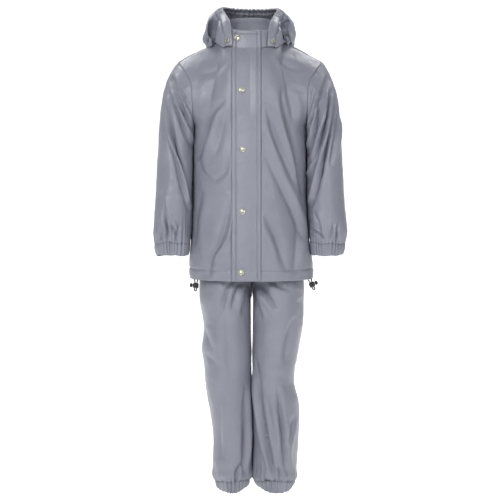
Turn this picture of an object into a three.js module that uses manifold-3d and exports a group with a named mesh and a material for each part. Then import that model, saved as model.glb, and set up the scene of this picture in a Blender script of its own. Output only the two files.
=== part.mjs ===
// A child's rain suit, worn and filled out: a hooded jacket over trousers.
// Millimetres, +Z up, the front faces -Y and the wearer's left is +X.
// Z = 0 is just above the neck seam at the centre front.
import * as THREE from 'three';
import { mergeVertices } from 'three/addons/utils/BufferGeometryUtils.js';
import Module from 'manifold-3d';

const wasm = await Module();
wasm.setup();

// Driving dimensions
const CLOTH = 1.6;
const DOUBLE_CLOTH = 2.0;
const SEAM_GAP = 0.4;
const LAYER_GAP = 0.9;
const SEAM_INSET = 0.0012;
const ARMPIT_Z = -168;
const HEM_Z = -488;
const HEM_RISE = 7;
const HEM_CASING_TOP = 0.062;
const CASING_STEP = 0.004;
const CASING_RAISE = 0.7;
const NECK_SHARE = 0.6;
const NECK = { half: 70, front: 64, back: 58, frontZ: -6, sideZ: 12, backZ: 32 };
const COLLAR_TOP = { half: 63, front: 58, back: 56, frontZ: 30, sideZ: 48, backZ: 70 };
const COLLAR_BELLY = 0.02;
const COLLAR_INSET = 0.25;
const SHOULDER = { startX: 70, length: 82, fall: 32, curve: 9 };
const SHOULDER_NORMAL = new THREE.Vector3(0.45, 0, 0.89).normalize();
const FLAP = { freeX: -35.5, seamX: 23.7, columns: 6 };
const SNAP_RADIUS = 6;
const HOOD_SNAP_RADIUS = 5;
const HOOD_BAND = 18;
const HOOD_GATHERS = 18;
const HOOD_SEAM = 0.008;
const HOOD_OFF_BACK = 5;
const HOOD_TILT = { slope: 0.022, fromX: -65 };
const HOOD_SNAP_PLACE = { at: 0.1, s: 0.35, lift: 0.2 };
const BAND_END = 0.94;
const BAND_GATHERS = { from: -0.56, to: 0.66, height: 1.5, belly: 1.6 };
const SLEEVE_END_Z = -410;
const CUFF = { depth: 24, dip: 0, gathers: 16 };
const WAIST_TOP_Z = -296;
const WAIST_DEPTH = 30;
const CROTCH = { startZ: -400, z: -504, x: 4, power: 2.5 };
const LEG_END_Z = -905;
const ANKLE = { depth: 14, dip: 12, gathers: 16 };
const CORD_RADIUS = 1.2;

// How many facets the shapes get
const NECK_COLUMNS = 6;
const SHOULDER_COLUMNS = 4;
const TORSO_COLUMNS = NECK_COLUMNS + SHOULDER_COLUMNS;
const ARMHOLE_ROWS = 10;
const LEG_COLUMNS = 8;
const HOOD_COLUMNS = 16;
const HOOD_ROWS = 8;
const FACETS_A_GATHER = 4;

// Half-width, front depth and back depth of the jacket's body, from the hem up, and how far it
// hangs to the wearer's left
const TORSO = [
  { z: -490, half: 128.5, front: 104, back: 104, lean: 3.5 },
  { z: -445, half: 129.5, front: 103, back: 104, lean: 1.5 },
  { z: -386, half: 122.5, front: 99, back: 102, lean: 0 },
  { z: -310, half: 119, front: 95, back: 100, lean: 0 },
  { z: -226, half: 118, front: 94, back: 99, lean: 0 },
  { z: ARMPIT_Z, half: 118, front: 92, back: 98, lean: 0 },
];
const TORSO_ROWS = [
  0, HEM_CASING_TOP - CASING_STEP, HEM_CASING_TOP + CASING_STEP,
  0.15, 0.25, 0.35, 0.46, 0.58, 0.7, 0.85,
];

// Centre front and centre back above the armpits, t from the armpit to the neck
const CENTRE_LINE = {
  front: [
    { t: 0, y: -92, z: ARMPIT_Z },
    { t: 0.4, y: -87, z: -100 },
    { t: 0.75, y: -77, z: -45 },
    { t: 1, y: -NECK.front, z: NECK.frontZ },
  ],
  back: [
    { t: 0, y: 98, z: ARMPIT_Z },
    { t: 0.45, y: 97, z: -76 },
    { t: 0.8, y: 80, z: 2 },
    { t: 1, y: NECK.back, z: NECK.backZ },
  ],
};

// Armhole seam, t from the armpit to the shoulder tip
const ARMHOLE = {
  front: [
    { t: 0, x: 118, y: 0, z: ARMPIT_Z },
    { t: 0.2, x: 119, y: -33, z: -154 },
    { t: 0.45, x: 120, y: -50, z: -118 },
    { t: 0.7, x: 123, y: -46, z: -78 },
    { t: 0.88, x: 137, y: -27, z: -50 },
    { t: 1, x: 152, y: 0, z: -29 },
  ],
  back: [
    { t: 0, x: 118, y: 0, z: ARMPIT_Z },
    { t: 0.2, x: 118.5, y: 33, z: -154 },
    { t: 0.45, x: 121, y: 51, z: -118 },
    { t: 0.7, x: 127, y: 48, z: -78 },
    { t: 0.88, x: 140, y: 28, z: -49 },
    { t: 1, x: 152, y: 0, z: -29 },
  ],
};

// Oval sections of a sleeve: centre and half sizes
const SLEEVE = [
  { z: -412, cx: 161.5, hx: 34.5, cy: -17, hy: 40 },
  { z: -386, cx: 163, hx: 39, cy: -15, hy: 47 },
  { z: -310, cx: 159.2, hx: 38.4, cy: -9, hy: 52 },
  { z: -227, cx: 156.9, hx: 36.5, cy: -4, hy: 55 },
  { z: -143, cx: 154.7, hx: 34.6, cy: -2, hy: 57 },
  { z: -29, cx: 153, hx: 35.5, cy: 0, hy: 56 },
];
const SLEEVE_ROWS = [0, 0.03, 0.08, 0.15, 0.23, 0.32, 0.42, 0.52, 0.62, 0.72, 0.82, 0.91, 1];
const SLEEVE_HEAD = { reach: 0.45, power: 3.5 };

// Hip sections of one half of the trousers
const HIPS = [
  { z: -510, half: 110, front: 84, back: 92 },
  { z: -450, half: 110.5, front: 86, back: 92 },
  { z: -380, half: 113, front: 84, back: 87 },
  { z: -326, half: 116.4, front: 77, back: 79 },
  { z: -296, half: 117, front: 76, back: 78 },
];

// Leg sections: outer and inner edge, depth to each side of the middle
const LEGS = {
  right: [
    { z: -928, outer: -66, inner: -10, depth: 44, cy: -1 },
    { z: -905, outer: -71, inner: -4, depth: 50, cy: -1 },
    { z: -885, outer: -79, inner: 2.4, depth: 57, cy: -1 },
    { z: -815, outer: -78, inner: 3.2, depth: 60, cy: -2 },
    { z: -764, outer: -84, inner: 3.2, depth: 61, cy: -3 },
    { z: -705, outer: -93, inner: 3.2, depth: 62, cy: -4 },
    { z: -650, outer: -95, inner: 3, depth: 65, cy: -4 },
    { z: -620, outer: -98, inner: 3, depth: 67, cy: -4 },
    { z: -580, outer: -97, inner: 1.5, depth: 69, cy: -4 },
    { z: -529, outer: -105, inner: 1.5, depth: 73, cy: -2 },
    { z: -504, outer: -106, inner: 3.2, depth: 75, cy: 0 },
  ],
  left: [
    { z: -928, outer: 84, inner: 20, depth: 44, cy: -1 },
    { z: -905, outer: 93, inner: 13, depth: 50, cy: -1 },
    { z: -885, outer: 97.5, inner: 6.4, depth: 57, cy: -1 },
    { z: -815, outer: 102, inner: 5, depth: 60, cy: -2 },
    { z: -740, outer: 101.5, inner: 5, depth: 61, cy: -3 },
    { z: -697, outer: 93, inner: 5, depth: 62, cy: -4 },
    { z: -620, outer: 104, inner: 5, depth: 66, cy: -4 },
    { z: -580, outer: 110, inner: 6.5, depth: 69, cy: -4 },
    { z: -529, outer: 112, inner: 6.5, depth: 73, cy: -2 },
    { z: -504, outer: 114.5, inner: 5, depth: 75, cy: 0 },
  ],
};
const LEG_ROWS = [-350, -385, -425, -460, -486, -500, -514, -540, -575, -612, -650, -690,
  -735, -785, -840, -880];

// Hood stations from its front end (at 0) to the centre back (at 1): the angle on the neck seam,
// the outermost fold, the lowest and highest level of the pouch, and the free edge
const HOOD = [
  { at: 0, neck: 38, outX: 45, outY: -55, low: -2, high: 10, edgeX: 39, edgeY: -58, edgeZ: 16 },
  { at: 0.12, neck: 52, outX: 60, outY: -43, low: 0, high: 30, edgeX: 40, edgeY: -56, edgeZ: 36 },
  { at: 0.25, neck: 66, outX: 71, outY: -28, low: 9, high: 47, edgeX: 46, edgeY: -33, edgeZ: 58 },
  { at: 0.35, neck: 78, outX: 77, outY: 4, low: 14, high: 58, edgeX: 52, edgeY: -8, edgeZ: 72 },
  { at: 0.45, neck: 88, outX: 92, outY: -8, low: 13, high: 66, edgeX: 57, edgeY: 12, edgeZ: 82 },
  { at: 0.57, neck: 102, outX: 95, outY: 22, low: 8, high: 68, edgeX: 59, edgeY: 34, edgeZ: 89 },
  { at: 0.71, neck: 124, outX: 89, outY: 72, low: -30, high: 67, edgeX: 52, edgeY: 54, edgeZ: 93 },
  { at: 0.86, neck: 150, outX: 58, outY: 116, low: -78, high: 64, edgeX: 31, edgeY: 68, edgeZ: 94 },
  { at: 1, neck: 180, outX: 0, outY: 132, low: -98, high: 60, edgeX: 0, edgeY: 74, edgeZ: 94 },
];

// The largest folds, as soft troughs between two points seen from the front or the back
const TORSO_FOLDS = [
  { face: 'front', x0: -58, z0: -118, x1: -112, z1: -235, width: 13, depth: 5.5 },
  { face: 'front', x0: -60, z0: -350, x1: -92, z1: -478, width: 13, depth: 3.5 },
  { face: 'front', x0: 52, z0: -120, x1: 112, z1: -250, width: 13, depth: 5.5 },
  { face: 'front', x0: 62, z0: -225, x1: 108, z1: -350, width: 13, depth: 5 },
  { face: 'front', x0: 98, z0: -380, x1: 88, z1: -470, width: 12, depth: 2.5 },
  { face: 'back', x0: -40, z0: -130, x1: -104, z1: -260, width: 14, depth: 4 },
  { face: 'back', x0: 38, z0: -140, x1: 106, z1: -275, width: 14, depth: 4 },
  { face: 'back', x0: -30, z0: -280, x1: -62, z1: -470, width: 14, depth: 3 },
  { face: 'back', x0: 36, z0: -300, x1: 70, z1: -465, width: 14, depth: 3 },
];
const SLEEVE_FOLDS = [
  { face: 'front', x0: 178, z0: -100, x1: 126, z1: -212, width: 10, depth: 4 },
  { face: 'front', x0: 184, z0: -170, x1: 128, z1: -300, width: 10, depth: 5.5 },
  { face: 'front', x0: 190, z0: -255, x1: 132, z1: -365, width: 10, depth: 4 },
  { face: 'back', x0: 180, z0: -120, x1: 128, z1: -235, width: 10, depth: 4 },
  { face: 'back', x0: 186, z0: -210, x1: 130, z1: -330, width: 10, depth: 4.5 },
];
const TROUSER_FOLDS = [
  { face: 'front', x0: -8, z0: -740, x1: -9, z1: -884, width: 11, depth: 6 },
  { face: 'front', x0: -30, z0: -520, x1: -58, z1: -556, width: 10, depth: 3 },
  { face: 'front', x0: 26, z0: -512, x1: 54, z1: -545, width: 10, depth: 3 },
  { face: 'front', x0: 24, z0: -700, x1: 56, z1: -885, width: 11, depth: 6 },
  { face: 'front', x0: 70, z0: -700, x1: 80, z1: -880, width: 10, depth: 3.5 },
  { face: 'front', x0: -88, z0: -590, x1: -66, z1: -630, width: 12, depth: 3.5 },
  { face: 'back', x0: -22, z0: -560, x1: -60, z1: -700, width: 13, depth: 4 },
  { face: 'back', x0: 26, z0: -570, x1: 62, z1: -715, width: 13, depth: 4 },
  { face: 'back', x0: -60, z0: -740, x1: -34, z1: -880, width: 12, depth: 4 },
  { face: 'back', x0: 66, z0: -745, x1: 40, z1: -880, width: 12, depth: 4 },
];

// Storm flap snaps, from the collar down, and the two hood snaps
const FLAP_SNAPS = [
  { x: -24.8, z: 16 },
  { x: -16.8, z: -94 },
  { x: -14.7, z: -218 },
  { x: -14.7, z: -345 },
  { x: -18.3, z: -470 },
];

// Where each side's drawcord loop leaves the hem, how far its lock swings out and which way it lies
const CORD_LOCKS = [
  { side: 'right', x: -112.5, tilt: 4, plunger: -1 },
  { side: 'left', x: 124.5, tilt: -24, plunger: 1 },
];
const LOCK = { drop: 13.5, radius: 5.4, length: 12, plungerRadius: 4.2, plungerLength: 6 };

// Small helpers
const lerp = (a, b, t) => a + (b - a) * t;
const clamp = (value, low, high) => Math.min(Math.max(value, low), high);
const smooth = (low, high, value) => THREE.MathUtils.smoothstep(value, low, high);
const radians = THREE.MathUtils.degToRad;

// A row of the table at a value of its key column, on a smooth curve through the rows
function sample(rows, key, at) {
  const last = rows.length - 1;
  let i = 0;
  while (i < last - 1 && at > rows[i + 1][key]) {
    i += 1;
  }
  const before = rows[Math.max(i - 1, 0)];
  const from = rows[i];
  const to = rows[i + 1];
  const after = rows[Math.min(i + 2, last)];
  const span = to[key] - from[key];
  const t = (at - from[key]) / span;
  const row = {};
  for (const column of Object.keys(from)) {
    const slopeFrom = ((to[column] - before[column]) / (to[key] - before[key])) * span;
    const slopeTo = ((after[column] - from[column]) / (after[key] - from[key])) * span;
    row[column] =
      from[column] * (2 * t ** 3 - 3 * t ** 2 + 1) +
      slopeFrom * (t ** 3 - 2 * t ** 2 + t) +
      to[column] * (-2 * t ** 3 + 3 * t ** 2) +
      slopeTo * (t ** 3 - t ** 2);
  }
  return row;
}

// Depth of the folds at a point seen from the front or the back
function foldDepth(folds, face, x, z) {
  let depth = 0;
  for (const fold of folds) {
    if (fold.face !== face) {
      continue;
    }
    const dx = fold.x1 - fold.x0;
    const dz = fold.z1 - fold.z0;
    const along = clamp(((x - fold.x0) * dx + (z - fold.z0) * dz) / (dx * dx + dz * dz), 0, 1);
    const away = Math.hypot(x - fold.x0 - along * dx, z - fold.z0 - along * dz);
    depth += fold.depth * Math.exp(-((away / fold.width) ** 2));
  }
  return depth;
}

// Unit normal of a surface, on the side that turn picks
function normalOf(surface, u, v, turn) {
  const step = 0.0005;
  const alongU = surface(u + step, v).sub(surface(u - step, v));
  const alongV = surface(u, v + step).sub(surface(u, v - step));
  return alongU.cross(alongV).normalize().multiplyScalar(turn);
}

// Turns a closed mesh the right way out
function faceOut(positions, triangles) {
  let volume = 0;
  const a = new THREE.Vector3();
  const b = new THREE.Vector3();
  const c = new THREE.Vector3();
  for (let i = 0; i < triangles.length; i += 3) {
    a.fromArray(positions, triangles[i] * 3);
    b.fromArray(positions, triangles[i + 1] * 3);
    c.fromArray(positions, triangles[i + 2] * 3);
    volume += a.dot(b.cross(c));
  }
  if (volume < 0) {
    for (let i = 0; i < triangles.length; i += 3) {
      [triangles[i + 1], triangles[i + 2]] = [triangles[i + 2], triangles[i + 1]];
    }
  }
}

// A cloth wall from a grid of outer points and the matching inner points.
// A round wall closes on itself along its columns.
function wall(outer, inner, isRound) {
  const rows = outer.length;
  const columns = outer[0].length;
  const positions = [];
  for (const grid of [outer, inner]) {
    for (const row of grid) {
      for (const point of row) {
        positions.push(point.x, point.y, point.z);
      }
    }
  }
  const at = (layer, row, column) => (layer * rows + row) * columns + (column % columns);
  const triangles = [];
  const quad = (a, b, c, d) => triangles.push(a, b, c, a, c, d);
  const spans = isRound ? columns : columns - 1;
  for (let i = 0; i < rows - 1; i += 1) {
    for (let j = 0; j < spans; j += 1) {
      quad(at(0, i, j), at(0, i, j + 1), at(0, i + 1, j + 1), at(0, i + 1, j));
      quad(at(1, i, j), at(1, i + 1, j), at(1, i + 1, j + 1), at(1, i, j + 1));
    }
  }
  for (let j = 0; j < spans; j += 1) {
    quad(at(0, 0, j), at(1, 0, j), at(1, 0, j + 1), at(0, 0, j + 1));
    quad(at(0, rows - 1, j), at(0, rows - 1, j + 1), at(1, rows - 1, j + 1), at(1, rows - 1, j));
  }
  if (!isRound) {
    const end = columns - 1;
    for (let i = 0; i < rows - 1; i += 1) {
      quad(at(0, i, 0), at(0, i + 1, 0), at(1, i + 1, 0), at(1, i, 0));
      quad(at(0, i, end), at(1, i, end), at(1, i + 1, end), at(0, i + 1, end));
    }
  }
  faceOut(positions, triangles);
  const geometry = new THREE.BufferGeometry();
  geometry.setAttribute('position', new THREE.Float32BufferAttribute(positions, 3));
  geometry.setIndex(triangles);
  return geometry;
}

// A wall on a surface: base is the level of its inner side over the surface, raise lifts its outer
// side alone
function wallOn(surface, normal, us, vs, options) {
  const { thickness = CLOTH, base = () => -thickness, raise = () => 0, isRound = false } = options;
  const outer = [];
  const inner = [];
  for (const v of vs) {
    const outerRow = [];
    const innerRow = [];
    for (const u of us) {
      const point = surface(u, v);
      const out = normal(u, v);
      outerRow.push(point.clone().addScaledVector(out, base(u, v) + thickness + raise(u, v)));
      innerRow.push(point.clone().addScaledVector(out, base(u, v)));
    }
    outer.push(outerRow);
    inner.push(innerRow);
  }
  return wall(outer, inner, isRound);
}

const range = (count, low, high) =>
  Array.from({ length: count + 1 }, (_, i) => lerp(low, high, i / count));

// Materials
const cloth = { color: 0x9799a5, roughness: 0.55, metalness: 0 };
const snapMetal = { color: 0xc9c8b4, roughness: 0.3, metalness: 1 };
const blackPlastic = { color: 0x111214, roughness: 0.45, metalness: 0 };
const blackCord = { color: 0x17181b, roughness: 0.85, metalness: 0 };

const suit = new THREE.Group();
suit.name = 'rain_suit';

function add(name, geometry, look) {
  const mesh = new THREE.Mesh(geometry, new THREE.MeshStandardMaterial(look));
  mesh.name = name;
  suit.add(mesh);
  return mesh;
}

// The neck seam and the collar's top edge, by the angle from the centre front
function neckRing(ring, angle) {
  const turn = radians(angle);
  const isBack = Math.cos(turn) < 0;
  const depth = isBack ? ring.back : ring.front;
  const rise = isBack ? ring.backZ - ring.sideZ : ring.sideZ - ring.frontZ;
  return new THREE.Vector3(
    ring.half * Math.sin(turn),
    -depth * Math.cos(turn),
    ring.sideZ - rise * Math.cos(turn),
  );
}

// The body of the jacket, wearer's left: u from the centre to the side, v from the hem (0) to the
// armpit (1) and on to the neck and shoulder (2)
function bodyCurve(face, u, z) {
  const section = sample(TORSO, 'z', z);
  const turn = (u * Math.PI) / 2;
  const depth = face === 'front' ? -section.front : section.back;
  return new THREE.Vector3(section.half * Math.sin(turn), depth * Math.cos(turn), z);
}
const leanAt = (z) => sample(TORSO, 'z', Math.min(z, ARMPIT_Z)).lean;

function topCurve(face, u) {
  if (u <= NECK_SHARE) {
    const quarter = (u / NECK_SHARE) * 90;
    return neckRing(NECK, face === 'front' ? quarter : 180 - quarter);
  }
  const q = (u - NECK_SHARE) / (1 - NECK_SHARE);
  const { startX, length, fall, curve } = SHOULDER;
  return new THREE.Vector3(startX + length * q, 0, NECK.sideZ - fall * q - curve * q * q);
}

function yokeSurface(face, u, t) {
  const centre = sample(CENTRE_LINE[face], 't', t);
  const edge = sample(ARMHOLE[face], 't', t);
  const low = bodyCurve(face, u, ARMPIT_Z);
  const high = topCurve(face, u);
  const lowCentre = bodyCurve(face, 0, ARMPIT_Z);
  const lowSide = bodyCurve(face, 1, ARMPIT_Z);
  const highCentre = topCurve(face, 0);
  const highSide = topCurve(face, 1);
  return low.multiplyScalar(1 - t)
    .addScaledVector(high, t)
    .addScaledVector(new THREE.Vector3(0, centre.y, centre.z), 1 - u)
    .addScaledVector(new THREE.Vector3(edge.x, edge.y, edge.z), u)
    .addScaledVector(lowCentre, -(1 - u) * (1 - t))
    .addScaledVector(lowSide, -u * (1 - t))
    .addScaledVector(highCentre, -(1 - u) * t)
    .addScaledVector(highSide, -u * t);
}

function bodySurface(side, face, u, v) {
  const hem = HEM_Z + HEM_RISE * u * u;
  const point = v <= 1
    ? bodyCurve(face, u, lerp(hem, ARMPIT_Z, v))
    : yokeSurface(face, u, v - 1);
  point.x *= side;
  const clear = smooth(0, 0.15, 1 - u) * smooth(38, 62, Math.abs(point.x)) * smooth(0, 0.1, 2 - v);
  const shift = clear * foldDepth(TORSO_FOLDS, face, point.x, point.z);
  const reach = Math.hypot(point.x, point.y);
  point.x = point.x * (1 - shift / reach) + leanAt(point.z);
  point.y *= 1 - shift / reach;
  return point;
}

function bodyNormal(side, face, u, v) {
  const turn = side * (face === 'front' ? 1 : -1);
  const out = normalOf((a, b) => bodySurface(side, face, a, b), u, v, turn);
  const shoulder = smooth(1.75, 2, v) * smooth(0.48, 0.62, u);
  const seam = SHOULDER_NORMAL.clone();
  seam.x *= side;
  return out.lerp(seam, shoulder).normalize();
}

// The column of the body's surface at a distance x from the centre line
function columnAt(side, face, x, v) {
  let low = 0;
  let high = 1;
  for (let i = 0; i < 24; i += 1) {
    const middle = (low + high) / 2;
    if (side * bodySurface(side, face, middle, v).x < side * x) {
      low = middle;
    } else {
      high = middle;
    }
  }
  return (low + high) / 2;
}

const bodyRows = [...TORSO_ROWS, ...range(ARMHOLE_ROWS, 1, 2 - SEAM_INSET)];
const casingRaise = (u, v) => (v < HEM_CASING_TOP ? CASING_RAISE : 0);

function bodyPanel(side, face) {
  return {
    surface: (u, v) => bodySurface(side, face, u, v),
    normal: (u, v) => bodyNormal(side, face, u, v),
  };
}

for (const [name, side] of [['jacket_front_right', -1], ['jacket_front_left', 1]]) {
  const { surface, normal } = bodyPanel(side, 'front');
  const us = range(TORSO_COLUMNS, 0, 1);
  us[0] = SEAM_INSET;
  us[TORSO_COLUMNS] = 1 - SEAM_INSET;
  add(name, wallOn(surface, normal, us, bodyRows, { raise: casingRaise }), cloth);
}

// The back runs from the right side seam to the left one in a single panel
function backSurface(u, v) {
  return bodySurface(Math.sign(u) || 1, 'back', Math.abs(u), v);
}
function backNormal(u, v) {
  return bodyNormal(Math.sign(u) || 1, 'back', Math.abs(u), v);
}
const backColumns = range(2 * TORSO_COLUMNS, -1, 1);
backColumns[0] = -1 + SEAM_INSET;
backColumns[2 * TORSO_COLUMNS] = 1 - SEAM_INSET;
add('jacket_back', wallOn(backSurface, backNormal, backColumns, bodyRows, { raise: casingRaise }), cloth);

// Stand collar: a strip round the neck that opens at the centre front
function collarSurface(angle, h) {
  const low = neckRing(NECK, angle);
  low.z += 2 * SEAM_GAP;
  const high = neckRing(COLLAR_TOP, angle);
  const point = low.lerp(high, h);
  const belly = 1 + COLLAR_BELLY * Math.sin(Math.PI * h);
  point.x *= belly;
  point.y *= belly;
  return point;
}
function collarNormal(angle, h) {
  return normalOf(collarSurface, angle, h, 1);
}
const collarAngles = range(4 * NECK_COLUMNS, 0, 360);
collarAngles[0] = COLLAR_INSET;
collarAngles[4 * NECK_COLUMNS] = 360 - COLLAR_INSET;
add('collar', wallOn(collarSurface, collarNormal, collarAngles, range(3, 0, 1), {
  thickness: DOUBLE_CLOTH,
}), cloth);

// Storm flap: lies on the fronts, then on the collar. k runs from the hem (0) over the neck seam
// (2) to the collar's top edge (3).
function flapSurface(x, k) {
  if (k <= 2) {
    const side = x < 0 ? -1 : 1;
    const u = columnAt(side, 'front', x, k);
    const point = bodySurface(side, 'front', u, k);
    point.x = x;
    return point;
  }
  const h = k - 2;
  const half = lerp(NECK.half, COLLAR_TOP.half, h) * (1 + COLLAR_BELLY * Math.sin(Math.PI * h));
  return collarSurface(THREE.MathUtils.radToDeg(Math.asin(x / half)), h);
}
function flapNormal(x, k) {
  const step = 0.01;
  const alongX = flapSurface(x + 0.5, k).sub(flapSurface(x - 0.5, k));
  const alongK = flapSurface(x, k + step).sub(flapSurface(x, k - step));
  return alongX.cross(alongK).normalize();
}
const flapBase = (x, k) => LAYER_GAP + casingRaise(x, k);
const flapColumns = range(FLAP.columns, FLAP.freeX, FLAP.seamX);
const flapRows = [
  ...TORSO_ROWS.slice(0, 3),
  0.2, 0.4, 0.6, 0.8, 1, 1.2, 1.4, 1.6, 1.8, 1.95, 2.06, 2.35, 2.7, 3,
];
add('storm_flap', wallOn(flapSurface, flapNormal, flapColumns, flapRows, {
  base: flapBase,
  thickness: DOUBLE_CLOTH,
}), cloth);

// Snap caps: low domes with a rolled rim
function snapCap(radius) {
  const profile = [[0, 0], [0.92, 0], [1, 0.1], [0.88, 0.3], [0.5, 0.4], [0, 0.42]];
  return new THREE.LatheGeometry(profile.map(([r, h]) => new THREE.Vector2(r * radius, h * radius)), 12);
}
function closed(geometry) {
  geometry.deleteAttribute('normal');
  geometry.deleteAttribute('uv');
  return mergeVertices(geometry, 1e-4);
}
function addSnap(name, point, out, radius) {
  const mesh = add(name, closed(snapCap(radius)), snapMetal);
  mesh.position.copy(point).addScaledVector(out, SEAM_GAP);
  mesh.quaternion.setFromUnitVectors(new THREE.Vector3(0, 1, 0), out);
}
function flapLevel(x, z) {
  let low = 0;
  let high = 3;
  for (let i = 0; i < 24; i += 1) {
    const middle = (low + high) / 2;
    if (flapSurface(x, middle).z < z) {
      low = middle;
    } else {
      high = middle;
    }
  }
  return (low + high) / 2;
}
FLAP_SNAPS.forEach(({ x, z }, index) => {
  const k = flapLevel(x, z);
  const out = flapNormal(x, k);
  const lift = flapBase(x, k) + DOUBLE_CLOTH;
  addSnap(`flap_snap_${index + 1}`, flapSurface(x, k).addScaledVector(out, lift), out, SNAP_RADIUS);
});

// Hood: the cloth goes from the neck seam down and out into the pouch, over the top and in to the
// free edge, which the gathered casing forms. s runs from the neck seam (0) to the free edge (1).
function onBack(x, z) {
  let low = 0;
  let high = 2;
  let place = null;
  for (let i = 0; i < 20; i += 1) {
    const v = (low + high) / 2;
    place = { v, u: columnAt(1, 'back', x, v) };
    if (bodySurface(1, 'back', place.u, v).z < z) {
      low = v;
    } else {
      high = v;
    }
  }
  const point = bodySurface(1, 'back', place.u, place.v);
  const out = bodyNormal(1, 'back', place.u, place.v);
  out.x *= smooth(0, 0.3, place.u);
  return point.addScaledVector(out, HOOD_OFF_BACK);
}
const hoodProfiles = new Map();
function hoodProfile(at, side) {
  const key = `${at} ${side}`;
  if (!hoodProfiles.has(key)) {
    hoodProfiles.set(key, drawHoodProfile(at, side));
  }
  return hoodProfiles.get(key);
}
function drawHoodProfile(at, side) {
  const station = sample(HOOD, 'at', at);
  const root = neckRing(NECK, station.neck);
  const outward = new THREE.Vector3(root.x, root.y, 0).normalize();
  root.addScaledVector(outward, 3.2);
  root.z += 2.5;
  const pouch = smooth(0.45, 0.72, at);
  const under = (share, fall) => new THREE.Vector3(
    lerp(root.x, station.outX, share),
    lerp(root.y, station.outY, share),
    lerp(lerp(root.z, station.high, 0.1), station.low, fall),
  );
  const upper = under(0.3, 0.3);
  const lower = under(0.6, 0.8);
  if (pouch > 0) {
    upper.lerp(onBack(upper.x, upper.z), pouch);
    lower.lerp(onBack(lower.x, lower.z), pouch);
  }
  const turn = new THREE.Vector3(
    lerp(lower.x, station.outX, 0.55),
    lerp(lower.y, station.outY, 0.55),
    station.low,
  );
  const points = [
    root,
    upper,
    lower,
    turn,
    new THREE.Vector3(station.outX, station.outY, lerp(station.low, station.high, 0.45)),
    new THREE.Vector3(
      lerp(station.edgeX, station.outX, 0.72),
      lerp(station.edgeY, station.outY, 0.72),
      station.high,
    ),
    new THREE.Vector3(station.edgeX, station.edgeY, station.edgeZ),
  ];
  points.forEach((point, index) => {
    point.x *= side;
    const upper = smooth(0.5, 1, index / (points.length - 1));
    point.z -= HOOD_TILT.slope * (point.x - HOOD_TILT.fromX) * upper;
  });
  return new THREE.CatmullRomCurve3(points, false, 'centripetal');
}
function hoodPoint(side, at, s) {
  return hoodProfile(at, side).getPointAt(clamp(s, 0, 1));
}
function hoodNormal(side, at, s) {
  const a = clamp(at, 0.001, 0.999);
  const b = clamp(s, 0.001, 0.999);
  const along = hoodPoint(side, a + 0.001, b).sub(hoodPoint(side, a - 0.001, b));
  const up = hoodPoint(side, a, b + 0.001).sub(hoodPoint(side, a, b - 0.001));
  const out = along.cross(up).normalize().multiplyScalar(side);
  if (at > 0.93) {
    out.x *= (1 - at) / 0.07;
    out.normalize();
  }
  return out;
}
function bandShare(side, at) {
  return 1 - HOOD_BAND / hoodProfile(at, side).getLength();
}
for (const [name, side] of [['hood_right', -1], ['hood_left', 1]]) {
  const surface = (at, s) => hoodPoint(side, at, s * (bandShare(side, at) - HOOD_SEAM));
  const normal = (at, s) => hoodNormal(side, at, s * (bandShare(side, at) - HOOD_SEAM));
  const stations = range(HOOD_COLUMNS, 1 - BAND_END, 1 - SEAM_INSET);
  add(name, wallOn(surface, normal, stations, range(HOOD_ROWS, 0, 1), {}), cloth);
}

// Hood edge casing, from the right front end round the back to the left front end, gathered most
// across the back
function bandSurface(around, h) {
  const side = around < 0 ? -1 : 1;
  const at = 1 - Math.abs(around);
  return hoodPoint(side, at, lerp(bandShare(side, at), 1, h));
}
function bandNormal(around, h) {
  const side = around < 0 ? -1 : 1;
  const at = 1 - Math.abs(around);
  return hoodNormal(side, at, lerp(bandShare(side, at), 1, h));
}
const bandColumns = [
  ...range(8, -BAND_END, BAND_GATHERS.from).slice(0, -1),
  ...range(FACETS_A_GATHER * HOOD_GATHERS, BAND_GATHERS.from, BAND_GATHERS.to),
  ...range(6, BAND_GATHERS.to, BAND_END).slice(1),
];
function bandWave(around, h) {
  const { from, to, height, belly } = BAND_GATHERS;
  const fadeIn = smooth(from - 0.04, from + 0.11, around);
  const fadeOut = 1 - smooth(to - 0.06, to + 0.06, around);
  const turns = ((around - from) / (to - from)) * HOOD_GATHERS;
  const wave = Math.cos(2 * Math.PI * turns) * lerp(0.6, 1, h);
  return belly * Math.sin(Math.PI * h) + height * fadeIn * fadeOut * wave;
}
function gatheredWall(surface, normal, us, vs, wave, isRound) {
  const outer = [];
  const inner = [];
  for (const v of vs) {
    const points = us.map((u) => surface(u, v).addScaledVector(normal(u, v), wave(u, v)));
    outer.push(points.map((point, i) => point.clone().addScaledVector(normal(us[i], v), CLOTH / 2)));
    inner.push(points.map((point, i) => point.clone().addScaledVector(normal(us[i], v), -CLOTH / 2)));
  }
  return wall(outer, inner, isRound);
}
add('hood_edge', gatheredWall(bandSurface, bandNormal, bandColumns, [0.05, 0.5, 1], bandWave, false), cloth);

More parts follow.
